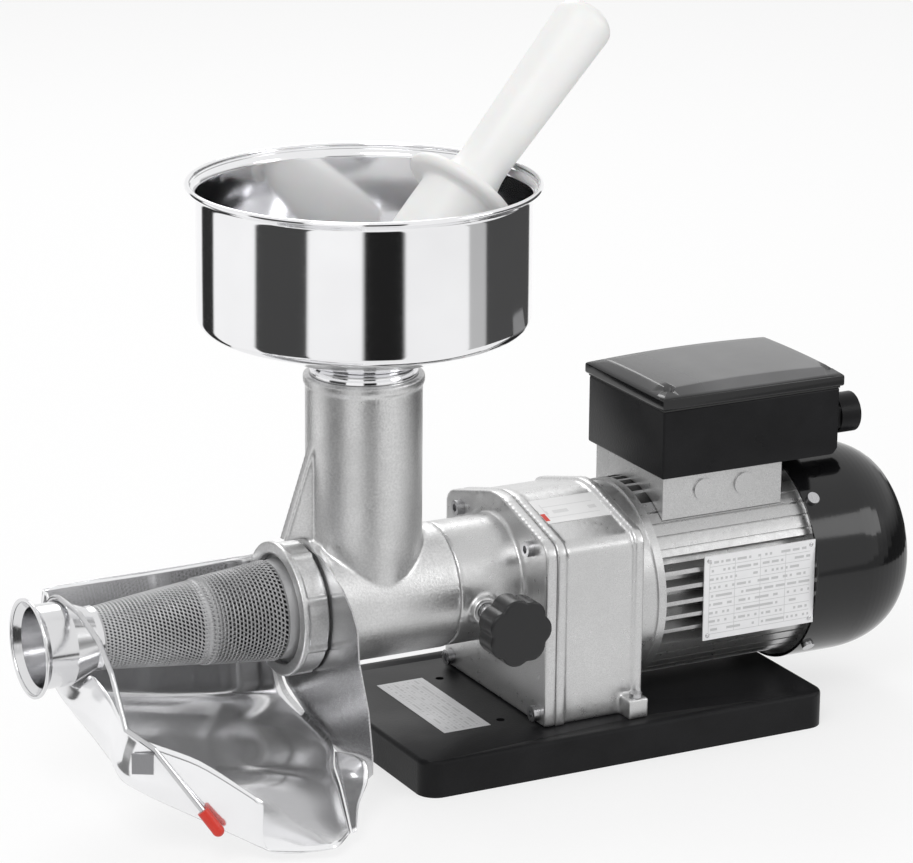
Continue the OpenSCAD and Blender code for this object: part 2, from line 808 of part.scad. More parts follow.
module foot_screws() {
    color("#8f9498") for (side = [-1, 1])
        translate([x_gear1 - foot_l / 2, side * (gear_w / 2 + foot_out / 2), base_t - foot_screw_bite + seat_gap]) {
            cylinder(h = foot_screw_bite + foot_h, r = foot_screw_r);
            translate([0, 0, foot_screw_bite + foot_h - seat_gap]) cylinder(h = foot_screw_head_t, r = foot_screw_head_r);
        }
}

module gearbox_label() {
    slope = tangent_a - 90;
    mid = [(arch_r - rim_step) * cos(tangent_a), (arch_r - rim_step) * sin(tangent_a)];
    color("#ececec") translate([x_cover1 + rim_w + seat_gap, -mid[0], screw_z + mid[1]]) rotate([-slope, 0, 0])
        translate([0, -gear_label_w, 0]) cube([gear_label_l, gear_label_w, label_t]);
}

// Gears and shafts

// The mesh angles: a gap of the second gear faces a tooth of the first
slow_line = atan2(mid_z - screw_z, mid_y);
fast_line = atan2(motor_z - mid_z, -mid_y);

module output_gear() {
    color("#b9a26a") difference() {
        union() {
            spur(slow_module, output_teeth, x_slow0, slow_face, 0, screw_z, slow_line);
            bar_x(x_slow0 - gear_hub_over, slow_face + gear_hub_over, gear_hub_r);
        }
        bar_x(x_slow0 - overrun - gear_hub_over, slow_face + 2 * overrun + gear_hub_over, shaft_r + press_gap);
        for (x = [x_slow0 - overrun, x_slow0 + (slow_face + web_t) / 2]) ring_x(x,
            (slow_face - web_t) / 2 + overrun, slow_module * (output_teeth / 2 - 2 * root_share) - overrun, gear_hub_r);
    }
}

module intermediate_shaft() {
    pinion_x = x_slow0 - slow_pinion_over;
    pinion_l = slow_face + 2 * slow_pinion_over;
    front = x_cover1 + mid_boss_l - mid_bearing_w;
    back = x_rear0 - mid_boss_l + mid_bearing_w;
    color("#8d9296") {
        bar_x(front, back - front, mid_journal_r, mid_y, mid_z);
        bar_x(pinion_x + pinion_l, x_rear0 - mid_boss_l - part_gap - pinion_x - pinion_l, mid_shaft_r, mid_y, mid_z);
        spur(slow_module, slow_pinion_teeth, pinion_x, pinion_l, mid_y, mid_z, slow_line + 180 + 180 / slow_pinion_teeth);
    }
}

module intermediate_gear() {
    color("#b9a26a") difference() {
        union() {
            spur(fast_module, fast_gear_teeth, x_fast0, fast_face, mid_y, mid_z, fast_line);
            bar_x(x_fast0 - gear_hub_over, fast_face + 2 * gear_hub_over, gear_hub_r - gear_hub_over, mid_y, mid_z);
        }
        bar_x(x_fast0 - 2 * overrun, fast_face + 4 * overrun, mid_shaft_r + press_gap, mid_y, mid_z);
    }
}

module motor_pinion() {
    color("#8d9296") difference() {
        spur(fast_module, motor_pinion_teeth, x_fast0 - slow_pinion_over, fast_face + 2 * slow_pinion_over,
            0, motor_z, fast_line + 180 + 180 / motor_pinion_teeth);
        bar_x(x_fast0 - overrun, fast_face + 2 * overrun, pinion_seat_r + press_gap, 0, motor_z);
    }
}

x_out_bearing0 = x_tube0 + socket_wall_t + seal_w + seat_gap;
x_out_bearing1 = x_cover1 + hub_out - out_bearing_w;

module output_bearings() {
    color("#a9adb0") for (x = [x_out_bearing0, x_out_bearing1])
        ball_bearing(x, out_bearing_w, out_bearing_r, shaft_r + run_gap, 0, screw_z);
}

module intermediate_bearings() {
    color("#a9adb0") for (x = [x_cover1 + mid_boss_l - mid_bearing_w, x_rear0 - mid_boss_l])
        ball_bearing(x, mid_bearing_w, mid_bearing_r, mid_journal_r + run_gap, mid_y, mid_z);
}

x_motor_bearing0 = x_bell0 + bell_web_t;
x_motor_bearing1 = x_frame1 + shield_t - bell_web_t;

module motor_bearings() {
    color("#a9adb0") for (x = [x_motor_bearing0, x_motor_bearing1])
        ball_bearing(x, motor_bearing_w, motor_bearing_r, motor_journal_r + run_gap, 0, motor_z);
}

module shaft_seals() {
    color("#3a2a20") {
        ring_x(x_tube0 + socket_wall_t, seal_w, out_bearing_r, shaft_r + run_gap);
        ring_x(x_rear0 + seat_gap, rear_wall - 2 * seat_gap, motor_seal_r, motor_journal_r + run_gap, 0, motor_z);
    }
}

module drive_shaft() {
    tail_end = x_tube0 - barrel_wall_t + barrel_wall_t + tail_out;
    color("#9a9fa3") {
        bar_x(tail_end + seat_gap, x_slow0 + slow_face - tail_end, shaft_r);
        translate([tail_end - square_l, -square_w / 2, screw_z - square_w / 2])
            cube([square_l + overrun, square_w, square_w]);
    }
}

// Strainer head

module feed_body() {
    back_x = x_tube0;
    web_low = screw_z + ring_r + web_rise;
    color("#c2c4c6") difference() {
        union() {
            bar_x(x_barrel0, barrel_l, barrel_r);
            bar_x(x_barrel0, flange_t, flange_r);
            bar_x(x_nose0, nose_l + overrun, nose_r);
            bar_x(back_x - overrun, spigot_len + overrun, socket_bore_r - run_gap);
            translate([x_column, 0, screw_z]) cylinder(h = column_top - screw_z, r = column_r);
            translate([x_column, 0, column_top - column_rim_t])
                cylinder(h = column_rim_t, r = column_r + column_rim_out);
            across_y(2 * web_half_t) polygon([[x_barrel0 - web_over, web_low], [x_column, web_low],
                [x_column, column_top - web_top_drop], [x_column - column_r, column_top - web_top_drop]]);
        }
        bar_x(x_nose0 - overrun, nose_l + barrel_l - barrel_wall_t + overrun, barrel_bore_r);
        translate([x_column, 0, screw_z]) cylinder(h = column_top - screw_z + overrun, r = column_bore_r);
        bar_x(x_tube0 - barrel_wall_t - overrun, barrel_wall_t + 2 * overrun, bush_r + press_gap);
        bar_x(back_x, spigot_len + overrun, spigot_bore_r);
    }
}

module auger_bush() {
    color("#b08d57") ring_x(x_tube0 - barrel_wall_t, barrel_wall_t, bush_r, tail_r + run_gap);
}

cone_slope = (cone_wide_r - cone_narrow_r) / cone_l;

module screen_cone() {
    color("#b4b7b9") turned_x([[cone_wide_r, x_cone1], [cone_narrow_r, x_cone0], [cone_narrow_r - cone_t, x_cone0],
        [cone_wide_r - cone_t, x_cone1 + cone_flange_t - cone_t], [cone_wide_r - cone_t, x_nose0 - seat_gap],
        [cone_flange_r, x_nose0 - seat_gap], [cone_flange_r, x_nose0 - seat_gap - cone_flange_t],
        [cone_wide_r - cone_slope * cone_flange_t, x_nose0 - seat_gap - cone_flange_t]]);
}

module waste_spout() {
    x_neck = x_cone0 - spout_taper_l;
    x_flare = x_spout0 + mouth_flare_l;
    lap_r = cone_narrow_r + cone_slope * spout_lap + run_gap;
    tip_in = cone_narrow_r + run_gap;
    color("#bfc1c3") union() {
        turned_x([[lap_r, x_spout1], [tip_in, x_cone0], [neck_r - spout_t, x_neck], [neck_r - spout_t, x_flare],
            [mouth_r - spout_t, x_spout0], [mouth_r, x_spout0], [neck_r, x_flare], [neck_r, x_neck],
            [tip_in + spout_t, x_cone0], [lap_r + spout_t, x_spout1]]);
        translate([x_spout0 + mouth_bead_r, 0, screw_z]) rotate([0, 90, 0]) rotate_extrude()
            translate([mouth_r - mouth_bead_r, 0]) circle(r = mouth_bead_r);
    }
}

x_ring0 = x_nose0 - seat_gap - cone_flange_t - part_gap - ring_lip_t;

module ring_nut() {
    color("#bcbec0") difference() {
        union() {
            bar_x(x_ring0, ring_l, ring_body_r);
            bar_x(x_ring0, ring_bead_w, ring_r);
            for (i = [0:ring_grips - 1]) rotate_about_screw((i + 1 / 2) * 360 / ring_grips)
                bar_x(x_ring0, ring_l, grip_r_out, ring_r - grip_r_out, screw_z);
        }
        bar_x(x_ring0 - overrun, ring_l + 2 * overrun, cone_wide_r + grip_r_out);
        bar_x(x_ring0 + ring_lip_t, ring_l, nose_r + run_gap);
    }
}

// Turns its children about the screw axis
module rotate_about_screw(a) {
    translate([0, 0, screw_z]) rotate([a, 0, 0]) translate([0, 0, -screw_z]) children();
}

// Screw

x_flight1 = x_tube0 - barrel_wall_t - auger_back_gap - flight_t;
x_flight0 = x_cone0 + auger_tip_back;
flight_turns = (x_flight1 - x_flight0) / flight_pitch;
flight_count = floor(flight_turns * flight_parts);

function screen_r(x) = cone_wide_r - cone_t - cone_slope * (x_cone1 - x);
function flight_r(x) = (x > x_nose0 + flight_t ? barrel_bore_r : screen_r(x - flight_t)) - flight_gap;
function core_at(x) = x > x_cone1 ? core_r : core_tip_r + (core_r - core_tip_r) * (x - x_cone0) / cone_l;

module flight() {
    points = [for (i = [0:flight_count])
        let (x = x_flight1 - flight_pitch * i / flight_parts, a = i * 360 / flight_parts,
            inner = core_at(x) - flight_sink, outer = flight_r(x))
        for (p = [[x, inner], [x + flight_t, inner], [x + flight_t, outer], [x, outer]])
            [p[0], p[1] * cos(a), screw_z + p[1] * sin(a)]];
    faces = concat([[0, 1, 2], [0, 2, 3]],
        [for (i = [0:flight_count - 1], k = [0:3]) let (a = 4 * i + k, b = 4 * i + (k + 1) % 4)
            each [[a, a + 4, b], [b, a + 4, b + 4]]],
        [[4 * flight_count, 4 * flight_count + 2, 4 * flight_count + 1],
            [4 * flight_count, 4 * flight_count + 3, 4 * flight_count + 2]]);
    polyhedron(points, faces);
}

module auger() {
    tail_end = x_tube0 + tail_out;
    color("#d8d8d4") difference() {
        union() {
            flight();
            bar_x(x_cone1, x_tube0 - barrel_wall_t - auger_back_gap - x_cone1, core_r);
            bar_x(x_tube0 - barrel_wall_t - auger_back_gap - overrun, tail_out + barrel_wall_t + auger_back_gap + overrun, tail_r);
            translate([x_cone0, 0, screw_z]) rotate([0, 90, 0])
                cylinder(h = cone_l + overrun / 4, r1 = core_tip_r, r2 = core_r);
        }
        translate([tail_end - square_l - seat_gap, -square_w / 2 - run_gap, screw_z - square_w / 2 - run_gap])
            cube([square_l + overrun, square_w + 2 * run_gap, square_w + 2 * run_gap]);
    }
}

// Hopper

hopper_profile = let (inner_t = hopper_t, floor_r = hopper_wall_r - hopper_fillet,
    neck_outer = throat_r + hopper_t,
    floor_a = atan2(hopper_floor_rise, hopper_wall_r - throat_r),
    edge = [for (i = [0:round_steps]) let (a = -(90 - floor_a) * i / round_steps)
        [floor_r + hopper_fillet * cos(a), hopper_edge_z + hopper_fillet * sin(a)]],
    edge_in = [for (i = [0:round_steps]) let (a = -(90 - floor_a) * (1 - i / round_steps))
        [floor_r + (hopper_fillet - inner_t) * cos(a), hopper_edge_z + (hopper_fillet - inner_t) * sin(a)]])
    concat([[hopper_wall_r, hopper_top - hopper_flare_l]], edge,
        [[neck_outer + throat_fillet, throat_z], [neck_outer, throat_z - throat_fillet],
            [neck_outer, column_top + part_gap + seat_bead], [neck_outer + seat_bead, column_top + part_gap + seat_bead],
            [neck_outer + seat_bead, column_top + part_gap], [neck_outer, column_top + part_gap],
            [neck_outer, column_top - spigot_l], [throat_r, column_top - spigot_l],
            [throat_r, throat_z - throat_fillet + inner_t], [neck_outer + throat_fillet - inner_t, throat_z + inner_t]],
        edge_in,
        [[hopper_wall_r - inner_t, hopper_top - hopper_flare_l]],
        [for (a = [170:-30:-100]) [hopper_r - bead_r + bead_r * cos(a), hopper_top - bead_r + bead_r * sin(a)]]);

module hopper() {
    color("#cfd1d3") translate([x_column, 0, 0]) rotate_extrude() polygon(hopper_profile);
}

// Pusher: it leans on the rim, with its plunger over the throat

pusher_profile = concat([[0, -plunger_l], [plunger_r - plunger_round, -plunger_l],
    [plunger_r, plunger_round - plunger_l], [plunger_r, -guard_t / 2], [guard_r - guard_round, -guard_t / 2],
    [guard_r, guard_round - guard_t / 2], [guard_r, guard_t / 2 - guard_round], [guard_r - guard_round, guard_t / 2]],
    [for (i = [0:round_steps]) let (a = 90 * i / round_steps)
        [grip_r + flare_r * (1 - sin(a)), guard_t / 2 + flare_l * (1 - cos(a))]],
    [for (i = [0:round_steps]) let (a = 90 * i / round_steps)
        [grip_end_r * cos(a), grip_l - dome_h + dome_h * sin(a)]]);

module pusher() {
    color("#f4f4f2") translate([x_column + pusher_foot - pusher_over, 0, hopper_top - pusher_drop])
        rotate([0, pusher_lean, pusher_turn]) rotate_extrude() polygon(pusher_profile);
}

// Motor

module motor_front_bell() {
    color("#b7babc") difference() {
        union() {
            bar_x(x_bell0, bell_l, motor_r - bell_step, 0, motor_z);
            bar_x(x_frame0 - bell_rim_w, bell_rim_w, motor_r, 0, motor_z);
        }
        bar_x(x_frame0 - bell_cavity_l, bell_cavity_l + overrun, bell_cavity_r, 0, motor_z);
        bar_x(x_motor_bearing0, bell_l, motor_bearing_r + press_gap, 0, motor_z);
        bar_x(x_bell0 - overrun, bell_l, rotor_shaft_r + seat_gap, 0, motor_z);
        for (a = [45:90:315]) about_motor(a) bar_x(x_frame0 - bell_cavity_l - bell_rim_w, bell_l,
            bolt_r + press_gap, bolt_ring_r, 0);
    }
}

// Turns its children about the motor's axis: they are drawn with the axis at zero
module about_motor(a) {
    translate([0, 0, motor_z]) rotate([a, 0, 0]) children();
}

module frame_section() {
    difference() {
        union() {
            circle(r = frame_tube_r);
            for (k = [0:3]) rotate(90 * k) intersection() {
                circle(r = block_r);
                polygon([[0, 0], [2 * motor_r * cos(block_low), 2 * motor_r * sin(block_low)],
                    [2 * motor_r, 2 * motor_r], [2 * motor_r * cos(block_high), 2 * motor_r * sin(block_high)]]);
            }
            intersection() {
                circle(r = motor_r);
                union() for (turn = [0, 90], i = [0:fins - 1], side = [-1, 1])
                    rotate(turn) translate([side < 0 ? -motor_r : fin_root, (i - (fins - 1) / 2) * fin_pitch - fin_t / 2])
                        square([motor_r - fin_root, fin_t]);
            }
        }
        circle(r = stator_r + press_gap);
        for (k = [0:3], a = [block_low + groove_step:groove_step:block_high - 1]) rotate(90 * k + a)
            translate([block_r - groove_d, -groove_w / 2]) square([2 * groove_d, groove_w]);
    }
}

module motor_frame() {
    color("#9b9ea1") difference() {
        translate([x_frame0, 0, motor_z]) rotate([90, 0, 90]) linear_extrude(frame_l) frame_section();
        for (a = [45:90:315]) about_motor(a) bar_x(x_frame0 - overrun, frame_l + 2 * overrun,
            bolt_r + seat_gap, bolt_ring_r, 0);
    }
}

module stator_core() {
    color("#6f7478") ring_x(x_stack0, stack_l, stator_r, rotor_r + part_gap, 0, motor_z);
}

module stator_windings() {
    color("#b5651d") for (x = [x_stack0 - winding_l, x_stack0 + stack_l])
        ring_x(x, winding_l, winding_out_r, winding_in_r, 0, motor_z);
}

module rotor_core() {
    color("#7d8286") ring_x(x_stack0, stack_l, rotor_r, rotor_shaft_r + press_gap, 0, motor_z);
}

x_fan0 = x_frame1 + shield_t + fan_off;

module rotor_shaft() {
    color("#9a9fa3") {
        bar_x(x_fast0 - slow_pinion_over, fast_face + 3 * slow_pinion_over, pinion_seat_r, 0, motor_z);
        bar_x(x_fast0 + fast_face + slow_pinion_over + seat_gap, x_motor_bearing1 + motor_bearing_w - x_fast0
            - fast_face - slow_pinion_over - seat_gap, motor_journal_r, 0, motor_z);
        bar_x(x_motor_bearing0 + motor_bearing_w + part_gap,
            x_motor_bearing1 - x_motor_bearing0 - motor_bearing_w - 2 * part_gap, rotor_shaft_r, 0, motor_z);
        bar_x(x_motor_bearing1 + motor_bearing_w - overrun, x_fan0 + fan_l - x_motor_bearing1 - motor_bearing_w + overrun,
            fan_seat_r, 0, motor_z);
    }
}

module motor_rear_shield() {
    color("#a9acae") difference() {
        union() {
            bar_x(x_frame1, shield_t, cowl_r - cowl_t - seat_gap, 0, motor_z);
            bar_x(x_frame1, shield_t + hub_len, motor_bearing_r + boss_wall, 0, motor_z);
        }
        bar_x(x_motor_bearing1, motor_bearing_w + overrun + hub_len, motor_bearing_r + press_gap, 0, motor_z);
        bar_x(x_frame1 - overrun, shield_t, rotor_shaft_r + seat_gap, 0, motor_z);
        for (a = [45:90:315]) about_motor(a) {
            bar_x(x_frame1 - overrun, shield_t + 2 * overrun, bolt_r + seat_gap, bolt_ring_r, 0);
            translate([x_frame1 + cowl_screw_back, cowl_r - cowl_t - screw_room, 0]) rotate([-90, 0, 0])
                cylinder(h = screw_room + overrun, r = cowl_screw_r + press_gap, center = false);
        }
    }
}

screw_room = 5;

module tie_bolts() {
    color("#8f9498") for (a = [45:90:315]) about_motor(a) {
        bar_x(x_frame0 - bell_cavity_l, bell_cavity_l + frame_l + shield_t, bolt_r, bolt_ring_r, 0);
        bar_x(x_frame1 + shield_t, bolt_head_t, bolt_head_r, bolt_ring_r, 0);
    }
}

module cooling_fan() {
    color("#2b2c2e") difference() {
        union() {
            bar_x(x_fan0, fan_l, fan_hub_r, 0, motor_z);
            bar_x(x_fan0, fan_disc_t, fan_r, 0, motor_z);
            for (i = [0:fan_blades - 1]) about_motor(i * 360 / fan_blades)
                translate([x_fan0 + fan_disc_t / 2, fan_hub_r - fan_blade_t, -fan_blade_t / 2])
                    cube([fan_l - fan_disc_t, fan_r - fan_hub_r, fan_blade_t]);
        }
        bar_x(x_fan0 - overrun, fan_l + 2 * overrun, fan_seat_r + press_gap, 0, motor_z);
    }
}

module cowl_half(t, x_in) {
    bend_l = cowl_l - cowl_straight_l;
    turned_x(concat([[0, x_in], [cowl_r - t, x_in]],
        [for (i = [0:2 * round_steps]) let (a = 90 * i / (2 * round_steps))
            [cowl_face_r - t + (cowl_r - cowl_face_r) * cos(a), x_frame1 + cowl_straight_l + (bend_l - t) * sin(a)]],
        [[0, x_cowl1 - t]]), 0, motor_z);
}

module fan_cowl() {
    color("#0d0d0e") difference() {
        cowl_half(0, x_cowl0);
        cowl_half(cowl_t, x_cowl0 - overrun);
        for (i = [0:cowl_slots - 1]) about_motor(i * 360 / cowl_slots)
            translate([x_cowl1 - cowl_t - overrun, cowl_slot_in_r, -cowl_slot_w / 2])
                cube([cowl_t + 2 * overrun, cowl_slot_out_r - cowl_slot_in_r, cowl_slot_w]);
        for (a = [45:90:315]) about_motor(a) translate([x_frame1 + cowl_screw_back, cowl_r - 2 * cowl_t, 0])
            rotate([-90, 0, 0]) cylinder(h = 4 * cowl_t, r = cowl_screw_r + seat_gap);
    }
}

module cowl_screws() {
    color("#c3c6c8") for (a = [45:90:315]) about_motor(a)
        translate([x_frame1 + cowl_screw_back, cowl_r - cowl_t - screw_room + seat_gap, 0]) rotate([-90, 0, 0]) {
            cylinder(h = screw_room + cowl_t, r = cowl_screw_r);
            translate([0, 0, screw_room + cowl_t - seat_gap]) cylinder(h = cowl_screw_head_t, r = cowl_screw_head_r);
        }
}

module rating_plate() {
    color("#e3e4e5") translate([x_frame0 + plate_back, -motor_r - plate_t,
        motor_z - plate_h / 2]) cube([plate_w, plate_t, plate_h]);
}

// Terminal box

x_term0 = x_gear1 + term_back;
x_term1 = x_term0 + term_l;
x_pedestal0 = x_term0 + pedestal_in;

module terminal_pedestal() {
    color("#b5b8ba") difference() {
        translate([x_pedestal0, -pedestal_w / 2, motor_z]) cube([pedestal_l, pedestal_w, pedestal_top - motor_z]);
        bar_x(x_pedestal0 - overrun, pedestal_l + 2 * overrun, motor_r + seat_gap / 2, 0, motor_z);
        translate([x_pedestal0 + 2 * term_wall, -pedestal_w / 2 + 2 * term_wall, motor_z])
            cube([pedestal_l - 4 * term_wall, pedestal_w - 4 * term_wall, term_h + pedestal_top]);
        translate([x_pedestal0 - overrun, -pedestal_w, motor_z - overrun])
            cube([pedestal_l + 2 * overrun, 2 * pedestal_w, pedestal_lip + overrun]);
        for (x = [plug_x0, plug_x1]) bar_y(-pedestal_w / 2 - overrun, 2 * term_wall + 2 * overrun,
            plug_r - plug_t, x_pedestal0 + x, pedestal_top - plug_drop);
    }
}

pedestal_lip = 52.5;

module knockout_plugs() {
    color("#aeb1b3") for (x = [plug_x0, plug_x1]) {
        bar_y(-pedestal_w / 2 - plug_t, plug_t, plug_r, x_pedestal0 + x, pedestal_top - plug_drop);
        bar_y(-pedestal_w / 2, 2 * term_wall, plug_r - plug_t - press_gap, x_pedestal0 + x,
            pedestal_top - plug_drop);
    }
}

box_z1 = pedestal_top + term_h;
post_places = [for (x = [x_term0 + lid_screw_in, x_term1 - lid_screw_in], side = [-1, 1])
    [x, side * (term_w / 2 - lid_screw_in)]];

module terminal_box() {
    gland_z = pedestal_top + gland_up;
    color("#18191a") difference() {
        across_y(term_w) polygon([[x_term0, pedestal_top], [x_term1 - box_chamfer, pedestal_top],
            [x_term1, pedestal_top + box_chamfer], [x_term1, box_z1], [x_term0, box_z1]]);
        difference() {
            across_y(term_w - 2 * term_wall) polygon([[x_term0 + term_wall, pedestal_top + term_wall],
                [x_term1 - box_chamfer - term_wall, pedestal_top + term_wall],
                [x_term1 - term_wall, pedestal_top + box_chamfer + term_wall],
                [x_term1 - term_wall, box_z1 + overrun], [x_term0 + term_wall, box_z1 + overrun]]);
            for (p = post_places) translate([p[0], p[1], pedestal_top]) cylinder(h = term_h, r = lid_post_r);
        }
        for (p = post_places) translate([p[0], p[1], box_z1 - term_wall - lid_screw_in])
            cylinder(h = 2 * lid_screw_in + term_wall, r = lid_screw_r + press_gap);
        translate([x_pedestal0 + pedestal_l / 2, 0, pedestal_top - overrun])
            cylinder(h = term_wall + 2 * overrun, r = plug_r);
        bar_x(x_term1 - term_wall - overrun, term_wall + 2 * overrun, gland_r * gland_share + press_gap, gland_y, gland_z);
    }
}

gland_share = 0.75;

module box_gasket() {
    color("#3b3d3f") difference() {
        translate([x_term0, -term_w / 2, box_z1]) cube([term_l, term_w, gasket_t]);
        translate([x_term0 + term_wall, -term_w / 2 + term_wall, box_z1 - overrun])
            cube([term_l - 2 * term_wall, term_w - 2 * term_wall, gasket_t + 2 * overrun]);
    }
}

module lid_form(inset) {
    low = box_z1 + gasket_t * (1 - inset);
    top = box_z1 + gasket_t + lid_h - inset * term_wall;
    out = lid_over - inset * term_wall;
    intersection() {
        across_y(term_w + 2 * lid_over + overrun) polygon([[x_term0 - out, low], [x_term1 + out, low],
            [x_term1 + out, top - lid_slope], [x_term1 + out - lid_slope, top], [x_term0 - out + lid_slope, top],
            [x_term0 - out, top - lid_slope]]);
        along_x(x_term0 - 2 * lid_over, term_l + 4 * lid_over) polygon([[-term_w / 2 - out, low],
            [term_w / 2 + out, low], [term_w / 2 + out, top - lid_slope], [term_w / 2 + out - 2 * lid_slope, top],
            [lid_slope + out - term_w / 2 - 2 * out, top], [-term_w / 2 - out, top - lid_slope]]);
    }
}

module terminal_lid() {
    color("#1a1b1c") difference() {
        lid_form(0);
        difference() {
            lid_form(1);
            for (p = post_places) translate([p[0], p[1], box_z1]) cylinder(h = lid_h, r = lid_post_r + plug_t);
        }
        translate([x_term0 + term_wall, -term_w / 2 + term_wall, box_z1])
            cube([term_l - 2 * term_wall, term_w - 2 * term_wall, gasket_t + seat_gap]);
        for (p = post_places) translate([p[0], p[1], box_z1]) {
            cylinder(h = lid_h + overrun, r = lid_screw_r + seat_gap);
            translate([0, 0, lid_h / 2]) cylinder(h = lid_h, r = lid_screw_head_r + seat_gap);
        }
    }
}

module lid_screws() {
    color("#2c2d2f") for (p = post_places) translate([p[0], p[1], 0]) {
        translate([0, 0, box_z1 - lid_screw_in]) cylinder(h = lid_screw_in + lid_h / 2 + seat_gap, r = lid_screw_r);
        translate([0, 0, box_z1 + lid_h / 2]) cylinder(h = lid_screw_head_t, r = lid_screw_head_r);
    }
}

cap_y = term_w / 2 - term_wall - cap_clear - cap_r;

module capacitor() {
    color("#d7d7d3") bar_x(x_term0 + term_wall + cap_clear + lid_screw_in, cap_l, cap_r, cap_y,
        pedestal_top + term_wall + cap_r);
}

module terminal_block() {
    x = x_term0 + term_wall + cap_clear + lid_screw_in;
    y = -term_w / 2 + term_wall + cap_clear + lid_screw_in;
    color("#7a4a2a") translate([x, y, pedestal_top + term_wall]) {
        cube([block_l, block_w, block_h]);
        for (i = [0:4], j = [0:1]) translate([block_l / 2 + (i - 2) * terminal_pitch, block_w / 2 + (j - 1 / 2) * terminal_pitch, 0])
            cylinder(h = block_h + terminal_t, r = terminal_r);
    }
}

module cable_gland() {
    gland_z = pedestal_top + gland_up;
    color("#1c1d1e") difference() {
        union() {
            bar_x(x_term1 - term_wall - overrun, term_wall + overrun + gland_l, gland_r * gland_share, gland_y, gland_z);
            translate([x_term1, gland_y, gland_z]) rotate([0, 90, 0]) cylinder(h = gland_l, r = gland_r, $fn = 6);
        }
        bar_x(x_term1 - 4 * overrun, gland_l + 8 * overrun, gland_bore_r, gland_y, gland_z);
    }
}

module gland_nut() {
    gland_z = pedestal_top + gland_up;
    color("#242527") ring_x(x_term1 + gland_l, gland_nut_l, gland_r, gland_bore_r, gland_y, gland_z);
}

// Lock knob

knob_face_y = -socket_r - stud_free_l - knob_hub_t - knob_t;

module lock_knob() {
    knob_z = screw_z - knob_drop;
    ring = knob_r - knob_lobe_r;
    color("#2e3032") difference() {
        translate([knob_x, 0, knob_z]) rotate([90, 0, 0]) {
            translate([0, 0, -knob_face_y - knob_t]) linear_extrude(knob_t) {
                circle(r = ring);
                for (i = [0:knob_lobes - 1]) rotate(i * 360 / knob_lobes) translate([ring, 0]) circle(r = knob_lobe_r);
            }
            translate([0, 0, -knob_face_y - knob_t - knob_hub_t]) cylinder(h = knob_hub_t + overrun, r = knob_hub_r);
        }
        bar_y(knob_face_y + knob_t / 2, knob_t + knob_hub_t, stud_r + press_gap, knob_x, knob_z);
    }
}

module knob_stud() {
    knob_z = screw_z - knob_drop;
    tip_y = -socket_bore_r - stud_tip_gap;
    color("#b9bcbe") bar_y(knob_face_y + knob_t / 2 + seat_gap, tip_y - knob_face_y - knob_t / 2 - seat_gap,
        stud_r, knob_x, knob_z);
}

// Tray, shield and spring wire

function tray_at(s) = [x_tray0 + s[0] * tray_l, s[1] * tray_reach, screw_z + s[2] * tray_drop];

module drip_tray() {
    color("#cdd0d2") {
        sheet([for (row = tray_shares) [for (s = row) tray_at(s)]], tray_t);
        sheet([for (row = spout_shares) [for (s = row) tray_at(s)]], tray_t);
    }
}

module splash_shield() {
    color("#d2d5d7") difference() {
        along_x(x_shield, tray_t) polygon([for (s = shield_shares)
            [s[0] * tray_reach, screw_z + s[1] * tray_drop]]);
        bar_x(x_shield - overrun, tray_t + 2 * overrun, nose_r + run_gap);
    }
}

wall_foot = tray_at(tray_shares[8][1]);
wall_spout = tray_at(tray_shares[10][1]);
wall_d = unit([wall_spout[0] - wall_foot[0], wall_spout[1] - wall_foot[1], 0]);
wall_n = [wall_d[1], -wall_d[0], 0];
wall_corner = [wall_foot[0], wall_foot[1], 0];

// A point beside the slanting wall: along it, out from its middle, and up
function beside_wall(s, out, z) = wall_corner + s * wall_d + out * wall_n + [0, 0, z];

hook_out = tray_t / 2 + hook_gap + 2 * wire_r + hook_gap;
hook_z = tray_at(tray_shares[8][0])[2] - hook_drop;

module tray_hook() {
    color("#8b8e92") translate(beside_wall(0, 0, hook_z)) rotate([0, 0, atan2(wall_d[1], wall_d[0])]) {
        translate([0, -hook_out - hook_t, 0]) cube([hook_l, hook_out + hook_t - tray_t / 2, hook_t]);
        translate([0, -hook_out - hook_t, hook_lip - hook_h]) cube([hook_l, hook_t, hook_h]);
    }
}

wire_out = tray_t / 2 + hook_gap + wire_r;
wire_x = x_tray0 - wire_off;
wire_path = concat(
    [[wire_x, 0, screw_z + wire_bend_r]],
    [[wire_x, leg_shares[0][0] * tray_reach, screw_z + leg_shares[0][1] * tray_drop],
        [wire_x + wire_r, leg_shares[1][0] * tray_reach, screw_z + leg_shares[1][1] * tray_drop],
        [x_tray0 - wire_out, leg_shares[2][0] * tray_reach, screw_z + leg_shares[2][1] * tray_drop],
        beside_wall(-wire_out, wire_out, hook_z + leg_rise),
        beside_wall(hook_l, wire_out, hook_z + wire_r + hook_t + hook_gap),
        beside_wall(leg_l, wire_out + tip_r, hook_z - leg_fall)]);

// A round wire swept along a path: one ring of points at each place
module swept(path, r) {
    last = len(path) - 1;
    points = [for (i = [0:last])
        let (t = unit(path[min(i + 1, last)] - path[max(i - 1, 0)]),
            u = unit([1, 0, 0] - t[0] * t), v = cross(t, u))
        for (k = [0:wire_sides - 1])
            path[i] + r * (cos(k * 360 / wire_sides) * u + sin(k * 360 / wire_sides) * v)];
    faces = concat([[for (k = [wire_sides - 1:-1:0]) k]],
        [for (i = [0:last - 1], k = [0:wire_sides - 1])
            let (a = i * wire_sides + k, b = i * wire_sides + (k + 1) % wire_sides)
            each [[a, b, b + wire_sides], [a, b + wire_sides, a + wire_sides]]],
        [[for (k = [0:wire_sides - 1]) last * wire_sides + k]]);
    polyhedron(points, faces);
}

